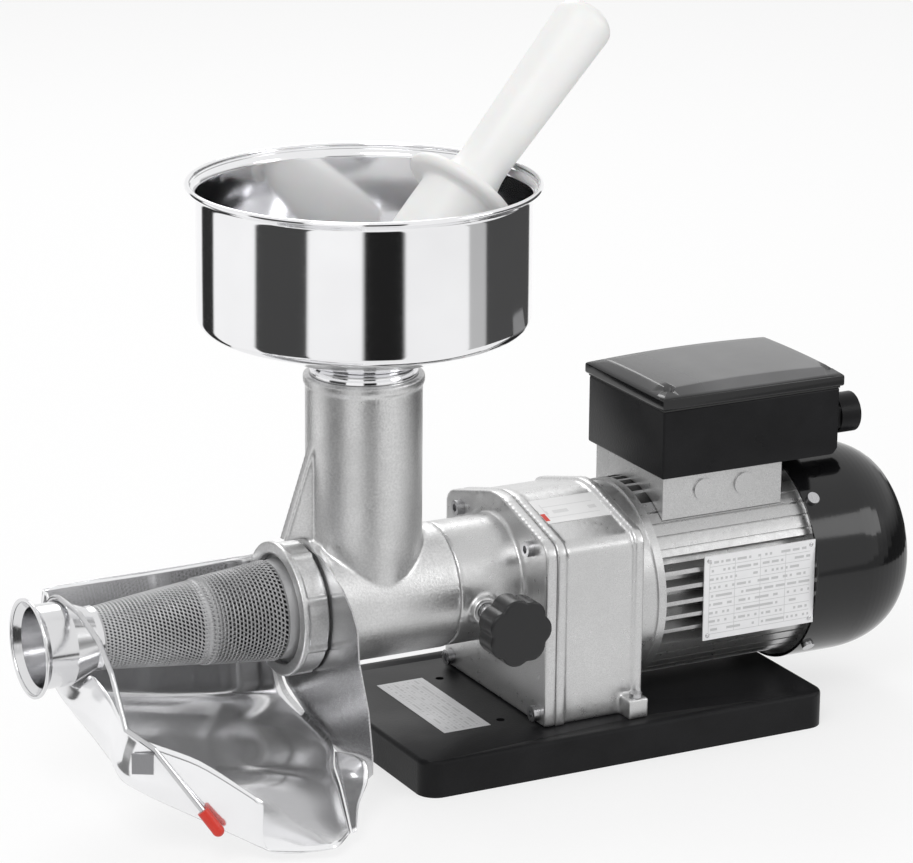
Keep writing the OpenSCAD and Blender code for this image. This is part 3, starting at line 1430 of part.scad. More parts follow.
module wire_clip() {
    wrap = [for (i = [0:wire_steps]) let (a = 90 - wire_wrap * (1 - i / wire_steps))
        [wire_x, wire_bend_r * cos(a), screw_z + wire_bend_r * sin(a)]];
    color("#9da1a4") swept(concat(wrap, [for (i = [1:len(wire_path) - 1]) wire_path[i]]), wire_r);
}

module clip_tip() {
    p = wire_path[len(wire_path) - 1];
    q = wire_path[len(wire_path) - 2];
    d = unit(p - q);
    color("#d8392f") difference() {
        wire(p - d * tip_l / 4, p + d * tip_l, tip_r);
        wire(q, p + d * tip_l / 2, wire_r + joint_more + press_gap);
    }
}

base_plate();
base_pads();
base_label();
gearbox_housing();
gearbox_front_cover();
cover_screws();
base_screws();
foot_screws();
gearbox_label();
feed_body();
auger_bush();
screen_cone();
waste_spout();
ring_nut();
auger();
drive_shaft();
output_gear();
output_bearings();
shaft_seals();
intermediate_shaft();
intermediate_gear();
intermediate_bearings();
motor_pinion();
rotor_shaft();
rotor_core();
motor_bearings();
motor_front_bell();
stator_core();
stator_windings();
motor_frame();
motor_rear_shield();
tie_bolts();
cooling_fan();
fan_cowl();
cowl_screws();
terminal_pedestal();
knockout_plugs();
terminal_box();
box_gasket();
terminal_lid();
lid_screws();
capacitor();
terminal_block();
cable_gland();
gland_nut();
rating_plate();
lock_knob();
knob_stud();
hopper();
pusher();
drip_tray();
splash_shield();
tray_hook();
wire_clip();
clip_tip();
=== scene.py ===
"""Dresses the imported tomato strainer: finishes, fine shapes, light and camera."""

import json
import math

import bmesh
import bpy
from mathutils import Matrix, Vector

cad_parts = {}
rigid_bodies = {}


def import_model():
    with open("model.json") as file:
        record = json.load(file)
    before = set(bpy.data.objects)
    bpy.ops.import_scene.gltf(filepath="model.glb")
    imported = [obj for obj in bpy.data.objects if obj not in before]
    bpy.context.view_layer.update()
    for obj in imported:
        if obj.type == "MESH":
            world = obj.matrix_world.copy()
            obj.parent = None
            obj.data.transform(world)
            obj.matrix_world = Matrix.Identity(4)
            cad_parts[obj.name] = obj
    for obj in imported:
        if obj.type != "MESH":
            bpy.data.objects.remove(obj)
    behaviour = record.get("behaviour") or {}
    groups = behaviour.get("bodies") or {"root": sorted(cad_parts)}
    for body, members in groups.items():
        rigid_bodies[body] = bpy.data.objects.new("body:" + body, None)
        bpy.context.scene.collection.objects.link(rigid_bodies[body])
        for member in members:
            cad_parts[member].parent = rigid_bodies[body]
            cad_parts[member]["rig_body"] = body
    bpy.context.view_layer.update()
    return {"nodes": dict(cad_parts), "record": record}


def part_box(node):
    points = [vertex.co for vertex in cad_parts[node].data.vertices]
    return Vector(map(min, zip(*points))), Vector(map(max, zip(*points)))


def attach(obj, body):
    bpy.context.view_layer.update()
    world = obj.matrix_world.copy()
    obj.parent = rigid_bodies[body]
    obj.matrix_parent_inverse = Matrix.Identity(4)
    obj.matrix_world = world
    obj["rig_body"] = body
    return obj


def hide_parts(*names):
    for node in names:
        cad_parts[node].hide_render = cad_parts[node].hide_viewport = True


bl_info = {
    "name": "Tomato strainer dressing",
    "version": (1, 0, 0),
    "blender": (4, 5, 0),
    "location": "View3D > Sidebar > Strainer",
    "description": "Adds the finishes and fine shapes of a motor driven tomato strainer",
    "category": "Object",
}

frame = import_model()
NODES = frame["nodes"]
SLOTS = {part["node"]: part["material_slot"] for part in frame["record"]["subparts"]}
FULL_TURN = 2 * math.pi

# Places read from the CAD: the screw's and the motor's axes, the hopper, and the tray's box
SCREW_Z = (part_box("drive_shaft")[0].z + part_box("drive_shaft")[1].z) / 2
MOTOR_Z = (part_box("rotor_core")[0].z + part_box("rotor_core")[1].z) / 2
HOPPER_X = (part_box("hopper")[0].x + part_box("hopper")[1].x) / 2
TRAY_LOW, TRAY_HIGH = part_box("drip_tray")

# The tray's sheet is given in shares of its length, reach and drop, and these two fall on its CAD box
TRAY_LONGEST = 1.013
TRAY_LOWEST = 0.999
TRAY_START = TRAY_LOW.x + 0.0005
TRAY_LENGTH = (TRAY_HIGH.x - TRAY_START) / TRAY_LONGEST
TRAY_REACH = 0.001 - TRAY_LOW.y
TRAY_DROP = (SCREW_Z - TRAY_LOW.z) / TRAY_LOWEST

# Gaps that are closed in a finished mesh and in a copy of the CAD, and what counts as flat
MESH_GAP = 0.000002
CAD_GAP = 0.00002
FLAT_ANGLE = math.radians(1.5)


# Settings that a user would change

class StrainerSizes(bpy.types.PropertyGroup):
    sheet: bpy.props.FloatProperty(
        name="Sheet", description="Thickness of the hopper's and the tray's sheet steel",
        default=0.001, min=0.0005, max=0.002, unit="LENGTH")
    bead: bpy.props.FloatProperty(
        name="Rim bead", description="Radius of the rolled rim on the hopper",
        default=0.0018, min=0.001, max=0.004, unit="LENGTH")
    cast_edge: bpy.props.FloatProperty(
        name="Cast detail", description="Size of the smallest detail kept on the castings",
        default=0.0013, min=0.001, max=0.003, unit="LENGTH")
    edge: bpy.props.FloatProperty(
        name="Edge", description="Radius on the edges of the moulded and painted pieces",
        default=0.0015, min=0.0003, max=0.004, unit="LENGTH")
    hole_pitch: bpy.props.FloatProperty(
        name="Hole pitch", description="Distance between neighbouring holes in the cone",
        default=0.0029, min=0.002, max=0.006, unit="LENGTH")


class StrainerColours(bpy.types.PropertyGroup):
    steel: bpy.props.FloatVectorProperty(
        name="Steel", description="Colour of the polished sheet steel", subtype="COLOR",
        size=3, default=(0.78, 0.78, 0.79), min=0, max=1)
    casting: bpy.props.FloatVectorProperty(
        name="Casting", description="Colour of the tinned castings", subtype="COLOR",
        size=3, default=(0.70, 0.70, 0.70), min=0, max=1)
    silver_paint: bpy.props.FloatVectorProperty(
        name="Silver paint", description="Colour of the painted gearbox", subtype="COLOR",
        size=3, default=(0.60, 0.60, 0.60), min=0, max=1)
    black: bpy.props.FloatVectorProperty(
        name="Black", description="Colour of the black plastic and paint", subtype="COLOR",
        size=3, default=(0.006, 0.006, 0.0065), min=0, max=1)
    white: bpy.props.FloatVectorProperty(
        name="White", description="Colour of the pusher", subtype="COLOR",
        size=3, default=(0.87, 0.87, 0.86), min=0, max=1)
    red: bpy.props.FloatVectorProperty(
        name="Red", description="Colour of the cap on the spring wire", subtype="COLOR",
        size=3, default=(0.62, 0.035, 0.02), min=0, max=1)


# Finishes: shader maths as Python expressions

class Flow:
    """A shader socket that takes arithmetic."""

    def __init__(self, shop, socket):
        self.shop = shop
        self.socket = socket

    def _maths(self, operation, first, second=0.0):
        return self.shop.node("ShaderNodeMath", {"operation": operation}, {0: first, 1: second})

    def __add__(self, other):
        return self._maths("ADD", self, other)

    def __sub__(self, other):
        return self._maths("SUBTRACT", self, other)

    def __mul__(self, other):
        return self._maths("MULTIPLY", self, other)

    def __truediv__(self, other):
        return self._maths("DIVIDE", self, other)

    def __lt__(self, other):
        return self._maths("LESS_THAN", self, other)

    def __gt__(self, other):
        return self._maths("GREATER_THAN", self, other)

    def wave(self):
        return self._maths("SINE", self)

    def whole(self):
        return self._maths("FLOOR", self)

    def root(self):
        return self._maths("SQRT", self)

    def size(self):
        return self._maths("ABSOLUTE", self)

    def repeat(self, step):
        return self._maths("FLOORED_MODULO", self, step)

    def turn(self, other):
        return self._maths("ARCTAN2", self, other)

    def both(self, other):
        return self._maths("MINIMUM", self, other)

    def either(self, other):
        return self._maths("MAXIMUM", self, other)


class Finish:
    """One material and the few ways its nodes are made."""

    def __init__(self, name, tree=None):
        if tree is None:
            self.material = bpy.data.materials.new(name)
            self.material.use_nodes = True
            tree = self.material.node_tree
            self.shader = tree.nodes["Principled BSDF"]
            self.output = tree.nodes["Material Output"]
        self.tree = tree

    def node(self, kind, settings=None, values=None, out=0):
        made = self.tree.nodes.new(kind)
        for name, value in (settings or {}).items():
            setattr(made, name, value)
        for key, value in (values or {}).items():
            self.feed(made.inputs[key], value)
        return Flow(self, made.outputs[out])

    def feed(self, socket, value):
        if isinstance(value, Flow):
            self.tree.links.new(value.socket, socket)
        elif isinstance(value, (tuple, list)) and len(value) == 3 and socket.type == "RGBA":
            socket.default_value = (*value, 1.0)
        else:
            socket.default_value = value

    def place(self):
        return self.node("ShaderNodeTexCoord", out=3)

    def axes(self, where=None):
        split = self.node("ShaderNodeSeparateXYZ", values={0: where or self.place()})
        outputs = split.socket.node.outputs
        return [Flow(self, outputs[i]) for i in range(3)]

    def noise(self, scale, detail, stretch=None, rough=0.5):
        where = self.place()
        if stretch:
            where = self.node("ShaderNodeMapping", values={"Vector": where, "Scale": stretch})
        return self.node("ShaderNodeTexNoise", {"noise_dimensions": "3D"},
                         {"Vector": where, "Scale": scale, "Detail": detail, "Roughness": rough})

    def mix(self, share, first, second):
        made = self.tree.nodes.new("ShaderNodeMix")
        made.data_type = "RGBA"
        self.feed(made.inputs[0], share)
        self.feed(made.inputs[6], first)
        self.feed(made.inputs[7], second)
        return Flow(self, made.outputs[2])

    def range(self, value, low, high, new_low, new_high):
        return self.node("ShaderNodeMapRange", {"clamp": True},
                         {0: value, 1: low, 2: high, 3: new_low, 4: new_high})

    def spread(self, noise, new_low, new_high):
        """The useful middle of a noise, spread between two values."""
        return self.range(noise, 0.3, 0.7, new_low, new_high)

    def ramp(self, value, stops):
        """A ramp of greys from pairs of place and brightness."""
        made = self.tree.nodes.new("ShaderNodeValToRGB")
        elements = made.color_ramp.elements
        while len(elements) < len(stops):
            elements.new(0.5)
        for element, (place, glow) in zip(elements, stops):
            element.position = place
            element.color = (glow, glow, glow, 1.0)
        self.feed(made.inputs[0], value)
        return Flow(self, made.outputs[0])

    def bump(self, height, strength, distance):
        return self.node("ShaderNodeBump", None,
                         {"Height": height, "Strength": strength, "Distance": distance})

    def set(self, **values):
        for name, value in values.items():
            self.feed(self.shader.inputs[name.replace("_", " ")], value)
        return self.material


def shade(colour, share):
    return tuple(min(1.0, c * share) for c in colour)


def within(place, start, end):
    return (place > start).both(place < end)


def polished_steel(name, tint, brushed, rough, depth=0.05, metal=1.0):
    f = Finish(name)
    lines = f.noise(90, 2, brushed)
    cloud = f.noise(14, 3)
    return f.set(
        Base_Color=f.mix(f.spread(cloud, 0, 1), tint, shade(tint, 0.94)),
        Metallic=metal,
        Roughness=f.spread(lines, rough * 0.8, rough * 1.35),
        Normal=f.bump(lines, depth, 0.0002))


def tinned_casting(name, tint):
    f = Finish(name)
    grain = f.noise(620, 4, rough=0.62)
    patch = f.noise(38, 4)
    wide = f.noise(9, 2)
    tone = f.mix(f.range(grain, 0.35, 0.66, 0, 1), shade(tint, 0.86), shade(tint, 1.08))
    return f.set(
        Base_Color=f.mix(f.range(patch, 0.35, 0.7, 0, 0.5), tone, shade(tint, 0.82)),
        Metallic=0.92,
        Roughness=f.range(grain + patch, 0.6, 1.4, 0.27, 0.46),
        Normal=f.bump(grain + patch * 1.2 + wide, 0.35, 0.0006))


def silver_coat(name, tint):
    f = Finish(name)
    flakes = f.noise(1500, 2)
    skin = f.noise(160, 4, rough=0.55)
    wide = f.noise(16, 3)
    tone = f.mix(f.range(flakes, 0.35, 0.65, 0, 1), shade(tint, 0.9), shade(tint, 1.12))
    return f.set(
        Base_Color=f.mix(f.range(wide, 0.35, 0.65, 0, 0.35), tone, shade(tint, 0.84)),
        Metallic=0.85,
        Roughness=f.spread(skin, 0.26, 0.38),
        Normal=f.bump(skin + wide * 1.5, 0.22, 0.0006))


def machined(name, tint, rough):
    f = Finish(name)
    rings = f.noise(240, 2, (14, 1, 1))
    return f.set(
        Base_Color=f.mix(f.spread(rings, 0, 1), shade(tint, 0.88), tint),
        Metallic=1.0,
        Roughness=f.spread(rings, rough * 0.8, rough * 1.3),
        Normal=f.bump(rings, 0.12, 0.0002))


def smooth_plastic(name, tint, rough, skin):
    f = Finish(name)
    fine = f.noise(420, 2)
    wide = f.noise(22, 3)
    return f.set(
        Specular_IOR_Level=0.42,
        Base_Color=f.mix(f.spread(wide, 0, 1), tint, shade(tint, 0.93)),
        Metallic=0.0,
        Roughness=f.range(fine + wide, 0.7, 1.3, rough * 0.85, rough * 1.2),
        Normal=f.bump(fine + wide * 2, skin, 0.0005))


def crowned_plastic(name, tint, crown, node, depth):
    """Gloss plastic with a satin crown that is painted lighter grey, a painted reflection that fades
    towards the lid's low x end.
    """
    f = Finish(name)
    low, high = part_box(node)
    foot = high.z - depth
    x, _, z = f.axes()
    wide = f.noise(30, 3)
    # Where the painted reflection lies: the whole crown, at a third of its strength at the low x end and
    # full from 5 cm in
    on_crown = f.range(z, foot, foot + 0.0015, 0, 1) * f.range(x, low.x, low.x + 0.05, 0.35, 1)
    # The crown colour is a painted reflection, a lighter grey than the lid's own black, with some random
    # tone
    crown_sheen_tone = f.mix(f.spread(wide, 0, 1), crown, shade(crown, 1.2))
    return f.set(
        Specular_IOR_Level=0.42,
        Base_Color=f.mix(on_crown, tint, crown_sheen_tone),
        Metallic=0.0,
        Roughness=f.range(on_crown + wide * 0.1, 0, 1, 0.12, 0.3),
        Normal=f.bump(wide, 0.05, 0.0004))


def grained_plastic(name, tint, rough):
    f = Finish(name)
    cells = f.node("ShaderNodeTexVoronoi", {"feature": "SMOOTH_F1"},
                   {"Vector": f.place(), "Scale": 900.0})
    wide = f.noise(30, 3)
    return f.set(
        Specular_IOR_Level=0.13,
        Base_Color=f.mix(f.spread(wide, 0, 1), tint, shade(tint, 1.6)),
        Metallic=0.0,
        Roughness=f.spread(wide, rough * 0.9, rough * 1.15),
        Normal=f.bump(cells, 0.16, 0.0005))


def white_moulding(name, tint):
    f = Finish(name)
    wide = f.noise(18, 3)
    fine = f.noise(300, 2)
    return f.set(
        Subsurface_Weight=0.12,
        Subsurface_Scale=0.006,
        Base_Color=f.mix(f.spread(wide, 0, 1), tint, shade(tint, 0.965)),
        Metallic=0.0,
        Roughness=f.spread(fine, 0.34, 0.44),
        Normal=f.bump(fine + wide, 0.05, 0.0005))


def laminated_iron(name, tint):
    f = Finish(name)
    sheet_pitch = 0.0011
    sheets = (f.axes()[0] * (FULL_TURN / sheet_pitch)).wave()
    rust = f.noise(60, 4)
    return f.set(
        Base_Color=f.mix(f.range(rust, 0.5, 0.75, 0, 0.6), tint, (0.22, 0.11, 0.06)),
        Metallic=0.9,
        Roughness=f.spread(rust, 0.4, 0.6),
        Normal=f.bump(sheets, 0.3, 0.0003))


def wound_copper(name, tint):
    f = Finish(name)
    strand_pitch = 0.0013
    strands_round = 90
    x, y, z = f.axes()
    strands = ((x * (FULL_TURN / strand_pitch)).wave()
               + ((z - MOTOR_Z).turn(y) * strands_round).wave() * 0.4)
    return f.set(
        Base_Color=f.mix(f.range(strands, -1, 1, 0, 1), shade(tint, 0.55), tint),
        Metallic=0.8,
        Roughness=0.35,
        Normal=f.bump(strands, 0.6, 0.0006))


def soft_rubber(name, tint):
    f = Finish(name)
    fine = f.noise(700, 3)
    return f.set(
        Base_Color=f.mix(f.spread(fine, 0, 1), tint, shade(tint, 1.5)),
        Metallic=0.0,
        Roughness=f.spread(fine, 0.6, 0.78),
        Normal=f.bump(fine, 0.2, 0.0004))


def ruled_plate(name, node, first_axis, paper, ink, row, column, dash, margin, bar=None):
    """A plate with plain ruled lines and bars, and no lettering."""
    rule = row * 0.07
    bar_middle = row * 0.52
    bar_half = row * 0.15
    f = Finish(name)
    low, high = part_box(node)
    upright = high.z - low.z > 0.02
    other = 2 if upright else 1 - first_axis
    places = f.axes()
    along = places[first_axis] - low[first_axis]
    across = places[other] - low[other]
    length = high[first_axis] - low[first_axis]
    width = high[other] - low[other]
    inside = within(along, margin, length - margin).both(within(across, margin, width - margin))
    step = (across - margin).repeat(row)
    ruled = (step < rule).either((along - margin).repeat(column) < rule)
    cells = f.node("ShaderNodeCombineXYZ", None,
                   {"X": (along / dash).whole(), "Y": ((across - margin) / row).whole()})
    chance = f.node("ShaderNodeTexWhiteNoise", {"noise_dimensions": "2D"}, {"Vector": cells})
    bars = (step - bar_middle).size() < bar_half
    printed = (ruled * 0.35).either(bars.both(chance > 0.46) * 0.4).both(inside)
    wear = f.noise(50, 3)
    sheet = f.mix(f.range(wear, 0.4, 0.8, 0, 0.4), paper, shade(paper, 0.86))
    colour = f.mix(printed, sheet, ink)
    if bar:
        start, end, bottom, top, bar_colour = bar
        patch = within(along, start, end).both(within(across, bottom, top))
        colour = f.mix(patch, colour, bar_colour)
    return f.set(
        Base_Color=colour,
        Metallic=0.15,
        Roughness=f.spread(wear, 0.3, 0.45),
        Normal=f.bump(wear, 0.05, 0.0003))


FINISHES = {}


def mix_finishes():
    colours = bpy.context.scene.strainer_colours
    steel = tuple(colours.steel)
    silver = tuple(colours.silver_paint)
    black = tuple(colours.black)
    red = tuple(colours.red)
    recipes = (
        ("hopper steel", polished_steel, shade(steel, 1.16), (1, 1, 40), 0.075, 0.02),
        ("tray steel", polished_steel, shade(steel, 1.19), (1, 30, 30), 0.13, 0.03, 0.84),
        ("shield steel", polished_steel, shade(steel, 0.62), (1, 30, 30), 0.22),
        ("hook steel", machined, (0.3, 0.3, 0.31), 0.4),
        ("spout steel", polished_steel, steel, (40, 1, 1), 0.13),
        ("cone steel", polished_steel, shade(steel, 0.58), (40, 1, 1), 0.42, 0.05, 0.55),
        ("tinned casting", tinned_casting, tuple(colours.casting)),
        ("silver coat", silver_coat, silver),
        ("motor coat", silver_coat, shade(silver, 0.92)),
        ("frame coat", silver_coat, shade(silver, 0.8)),
        ("screw steel", machined, (0.52, 0.52, 0.53), 0.3),
        ("shaft steel", machined, (0.62, 0.62, 0.63), 0.2),
        ("gear brass", machined, (0.66, 0.48, 0.2), 0.26),
        ("bush bronze", machined, (0.52, 0.3, 0.13), 0.3),
        ("iron", laminated_iron, (0.3, 0.3, 0.31)),
        ("copper", wound_copper, (0.62, 0.26, 0.1)),
        ("gloss black", smooth_plastic, black, 0.1, 0.02),
        # The lid's second grey is a painted reflection on its crown, not a colour of the plastic
        ("lid black", crowned_plastic, black, (0.12, 0.12, 0.122), "terminal_lid", 0.0078),
        ("box black", grained_plastic, shade(black, 1.25), 0.3),
        ("knob black", smooth_plastic, shade(black, 1.6), 0.34, 0.12),
        ("base black", grained_plastic, shade(black, 1.2), 0.4),
        ("rubber", soft_rubber, (0.02, 0.02, 0.02)),
        ("seal brown", soft_rubber, (0.07, 0.035, 0.02)),
        ("white plastic", white_moulding, tuple(colours.white)),
        ("auger plastic", smooth_plastic, (0.03, 0.03, 0.031), 0.45, 0.1),
        ("capacitor can", white_moulding, (0.6, 0.6, 0.58)),
        ("cap red", smooth_plastic, red, 0.3, 0.05),
        ("block brown", smooth_plastic, (0.16, 0.05, 0.02), 0.4, 0.1),
        ("rating plate", ruled_plate, "rating_plate", 0, (0.8, 0.8, 0.81), (0.12, 0.12, 0.12),
         0.0062, 0.0208, 0.0019, 0.004),
        ("base label", ruled_plate, "base_label", 1, (0.6, 0.6, 0.61), (0.2, 0.2, 0.2),
         0.0056, 0.033, 0.0017, 0.003),
        ("gearbox label", ruled_plate, "gearbox_label", 0, (0.84, 0.84, 0.84), (0.45, 0.45, 0.45),
         0.013, 0.04, 0.004, 0.006, (0.0015, 0.005, 0.003, 0.012, red)),
    )
    for name, make, *settings in recipes:
        FINISHES[name] = make(name, *settings)


NODE_FINISHES = {
    "base_plate": "base black", "base_pads": "rubber", "base_label": "base label",
    "gearbox_housing": "silver coat", "gearbox_front_cover": "silver coat",
    "cover_screws": "screw steel", "base_screws": "screw steel", "foot_screws": "screw steel",
    "gearbox_label": "gearbox label", "feed_body": "tinned casting", "auger_bush": "bush bronze",
    "screen_cone": "cone steel", "waste_spout": "spout steel", "ring_nut": "tinned casting",
    "auger": "auger plastic", "drive_shaft": "shaft steel", "output_gear": "gear brass",
    "output_bearings": "shaft steel", "shaft_seals": "seal brown", "intermediate_shaft": "shaft steel",
    "intermediate_gear": "gear brass", "intermediate_bearings": "shaft steel",
    "motor_pinion": "shaft steel", "rotor_shaft": "shaft steel", "rotor_core": "iron",
    "motor_bearings": "shaft steel", "motor_front_bell": "motor coat", "stator_core": "iron",
    "stator_windings": "copper", "motor_frame": "frame coat", "motor_rear_shield": "motor coat",
    "tie_bolts": "screw steel", "cooling_fan": "box black", "fan_cowl": "gloss black",
    "cowl_screws": "screw steel", "terminal_pedestal": "motor coat", "knockout_plugs": "motor coat",
    "terminal_box": "box black", "box_gasket": "rubber", "terminal_lid": "lid black",
    "lid_screws": "screw steel", "capacitor": "capacitor can", "terminal_block": "block brown",
    "cable_gland": "box black", "gland_nut": "box black", "rating_plate": "rating plate",
    "lock_knob": "knob black", "knob_stud": "shaft steel", "hopper": "hopper steel",
    "pusher": "white plastic", "drip_tray": "tray steel", "splash_shield": "shield steel",
    "tray_hook": "hook steel", "wire_clip": "shaft steel", "clip_tip": "cap red",
}


# Making pieces

def add_object(name, data):
    made = bpy.data.objects.new(name, data)
    bpy.context.scene.collection.objects.link(made)
    return made


def finished(name, form, node, replaced=(), sharp=32.0, slot=None, finish=None):
    """Turns a bmesh into a piece that rides with a CAD node and has its finish, or another given. The slot
    argument is not used.
    """
    bmesh.ops.remove_doubles(form, verts=form.verts, dist=MESH_GAP)
    bmesh.ops.recalc_face_normals(form, faces=form.faces)
    mesh = bpy.data.meshes.new(name)
    form.to_mesh(mesh)
    form.free()
    mesh.shade_smooth()
    mesh.set_sharp_from_angle(angle=math.radians(sharp))
    mesh.materials.append(FINISHES[finish or NODE_FINISHES[node]])
    piece = add_object(name, mesh)
    body = NODES[node]["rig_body"]
    slot = slot or SLOTS[node]
    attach(piece, body)
    if replaced:
        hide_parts(*replaced)
    return piece


def turned(form, outline, centre, axis, steps=96):
    """Spins an outline of (radius, along) points about an axis."""
    axis = Vector(axis).normalized()
    side = axis.orthogonal().normalized()
    dots = [form.verts.new(Vector(centre) + side * r + axis * t) for r, t in outline]
    edges = [form.edges.new(pair) for pair in zip(dots, dots[1:])]
    bmesh.ops.spin(form, geom=dots + edges, cent=centre, axis=axis, dvec=(0, 0, 0),
                   angle=FULL_TURN, steps=steps, use_merge=True, use_duplicate=False)


def arc(centre, radius, start, end, steps):
    """Points of an arc in an outline, in degrees."""
    turns = [math.radians(start + (end - start) * i / steps) for i in range(steps + 1)]
    return [(centre[0] + radius * math.cos(turn), centre[1] + radius * math.sin(turn)) for turn in turns]


def drop_doubles(points, gap=0.00001):
    kept = [points[0]]
    for point in points[1:]:
        if math.dist(point, kept[-1]) > gap:
            kept.append(point)
    return kept


def node_copy(node):
    """A merged copy of a CAD node, to work on."""
    form = bmesh.new()
    form.from_mesh(NODES[node].data)
    bmesh.ops.remove_doubles(form, verts=form.verts, dist=CAD_GAP)
    return form


def cast_copy(name, node, voxel, rounds):
    """A copy of a casting with its sharp edges and inner corners rounded as a mould leaves them."""
    form = node_copy(node)
    mesh = bpy.data.meshes.new(name + " rough")
    form.to_mesh(mesh)
    form.free()
    piece = add_object(name + " rough", mesh)
    remesh = piece.modifiers.new("mould", "REMESH")
    remesh.mode = "VOXEL"
    remesh.voxel_size = voxel
    remesh.adaptivity = 0.0
    graph = bpy.context.evaluated_depsgraph_get()
    form = bmesh.new()
    form.from_mesh(piece.evaluated_get(graph).to_mesh())
    bpy.data.objects.remove(piece)
    bpy.data.meshes.remove(mesh)
    for _ in range(rounds):
        bmesh.ops.smooth_vert(form, verts=form.verts, factor=0.5,
                              use_axis_x=True, use_axis_y=True, use_axis_z=True)
    return finished(name, form, node, (node,), 60)


def round_edges(form, width, steps, sharp, chosen):
    """Rounds the edges of a form that are sharper than an angle and pass a test."""
    bmesh.ops.dissolve_limit(form, angle_limit=FLAT_ANGLE, verts=form.verts, edges=form.edges)
    edges = [e for e in form.edges
             if len(e.link_faces) == 2 and e.calc_face_angle(0) > sharp and chosen(e)]
    bmesh.ops.bevel(form, geom=edges, offset=width, segments=steps, profile=0.5, affect="EDGES",
                    material=-1)


def edged_copy(name, node, width, steps, chosen):
    """A copy of a CAD node with rounded edges where the test says so."""
    form = node_copy(node)
    round_edges(form, width, steps, math.radians(30), chosen)
    return finished(name, form, node, (node,))


class StrainerPiece:
    bl_options = {"REGISTER", "UNDO"}

    @property
    def sizes(self):
        return bpy.context.scene.strainer_sizes


class STRAINER_OT_finishes(StrainerPiece, bpy.types.Operator):
    """Gives every CAD node its finish"""
    bl_idname = "strainer.finishes"
    bl_label = "Finishes"

    def execute(self, context):
        mix_finishes()
        for node, finish in NODE_FINISHES.items():
            mesh = NODES[node].data
            mesh.materials.clear()
            mesh.materials.append(FINISHES[finish])
        return {"FINISHED"}


class STRAINER_OT_hopper(StrainerPiece, bpy.types.Operator):
    """Spins the hopper with its rolled rim, rounded edge and drawn throat"""
    bl_idname = "strainer.hopper"
    bl_label = "Hopper"

    def execute(self, context):
        low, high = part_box("hopper")
        body_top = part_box("feed_body")[1].z
        centre = Vector(((low.x + high.x) / 2, (low.y + high.y) / 2, 0))
        sheet = self.sizes.sheet
        bead = self.sizes.bead

        # Radii from the hopper's axis
        rim = (high.x - low.x) / 2
        wall = rim - 0.0075
        neck = 0.0348

        # Radii of the rounds, in the order of the outline, and how far the floor turns
        collar = 0.002
        throat_round = 0.006
        knee_round = 0.009
        lip_round = 0.005
        floor_turn = 72
        lip_turn = 125

        # Heights and the middles of the rounds
        seat = body_top + 0.0002
        wall_middle = high.z - 0.06
        wall_top = high.z - 0.0105
        throat = (neck + throat_round, body_top + 0.009 - throat_round)
        knee = (wall - knee_round, high.z - 0.091)
        lip = (wall + lip_round, high.z - 0.0095)

        outer = [(neck, low.z), (neck, seat), (neck + collar, seat), (neck + collar, seat + collar),
                 (neck, seat + collar)]
        outer += arc(throat, throat_round, 180, 180 - floor_turn, 5)
        outer += arc(knee, knee_round, -floor_turn, 0, 9)
        outer += [(wall, wall_middle), (wall, wall_top)]
        outer += arc(lip, lip_round, 180, lip_turn, 4)
        roll = arc((rim - bead, high.z - bead), bead, 215, -125, 18)
        inner = arc(lip, lip_round + sheet, lip_turn, 180, 4)
        inner += [(wall - sheet, wall_middle)]
        inner += arc(knee, knee_round - sheet, 0, -floor_turn, 9)
        inner += arc(throat, throat_round + sheet, 180 - floor_turn, 180, 5)
        inner += [(neck - sheet, low.z), (neck, low.z)]
        form = bmesh.new()
        turned(form, drop_doubles(outer + roll + inner), centre, (0, 0, 1), 128)
        finished("hopper_bowl", form, "hopper", ("hopper",), 50)
        return {"FINISHED"}


class STRAINER_OT_castings(StrainerPiece, bpy.types.Operator):
    """Rounds the castings of the feed body, the gearbox and the ring nut"""
    bl_idname = "strainer.castings"
    bl_label = "Castings"

    def execute(self, context):
        voxel = self.sizes.cast_edge
        cast_copy("feed_casting", "feed_body", voxel, rounds=3)
        cast_copy("front_cover_casting", "gearbox_front_cover", voxel, rounds=2)
        cast_copy("gearbox_casting", "gearbox_housing", voxel, rounds=2)
        cast_copy("ring_nut_casting", "ring_nut", voxel=0.0008, rounds=2)
        return {"FINISHED"}


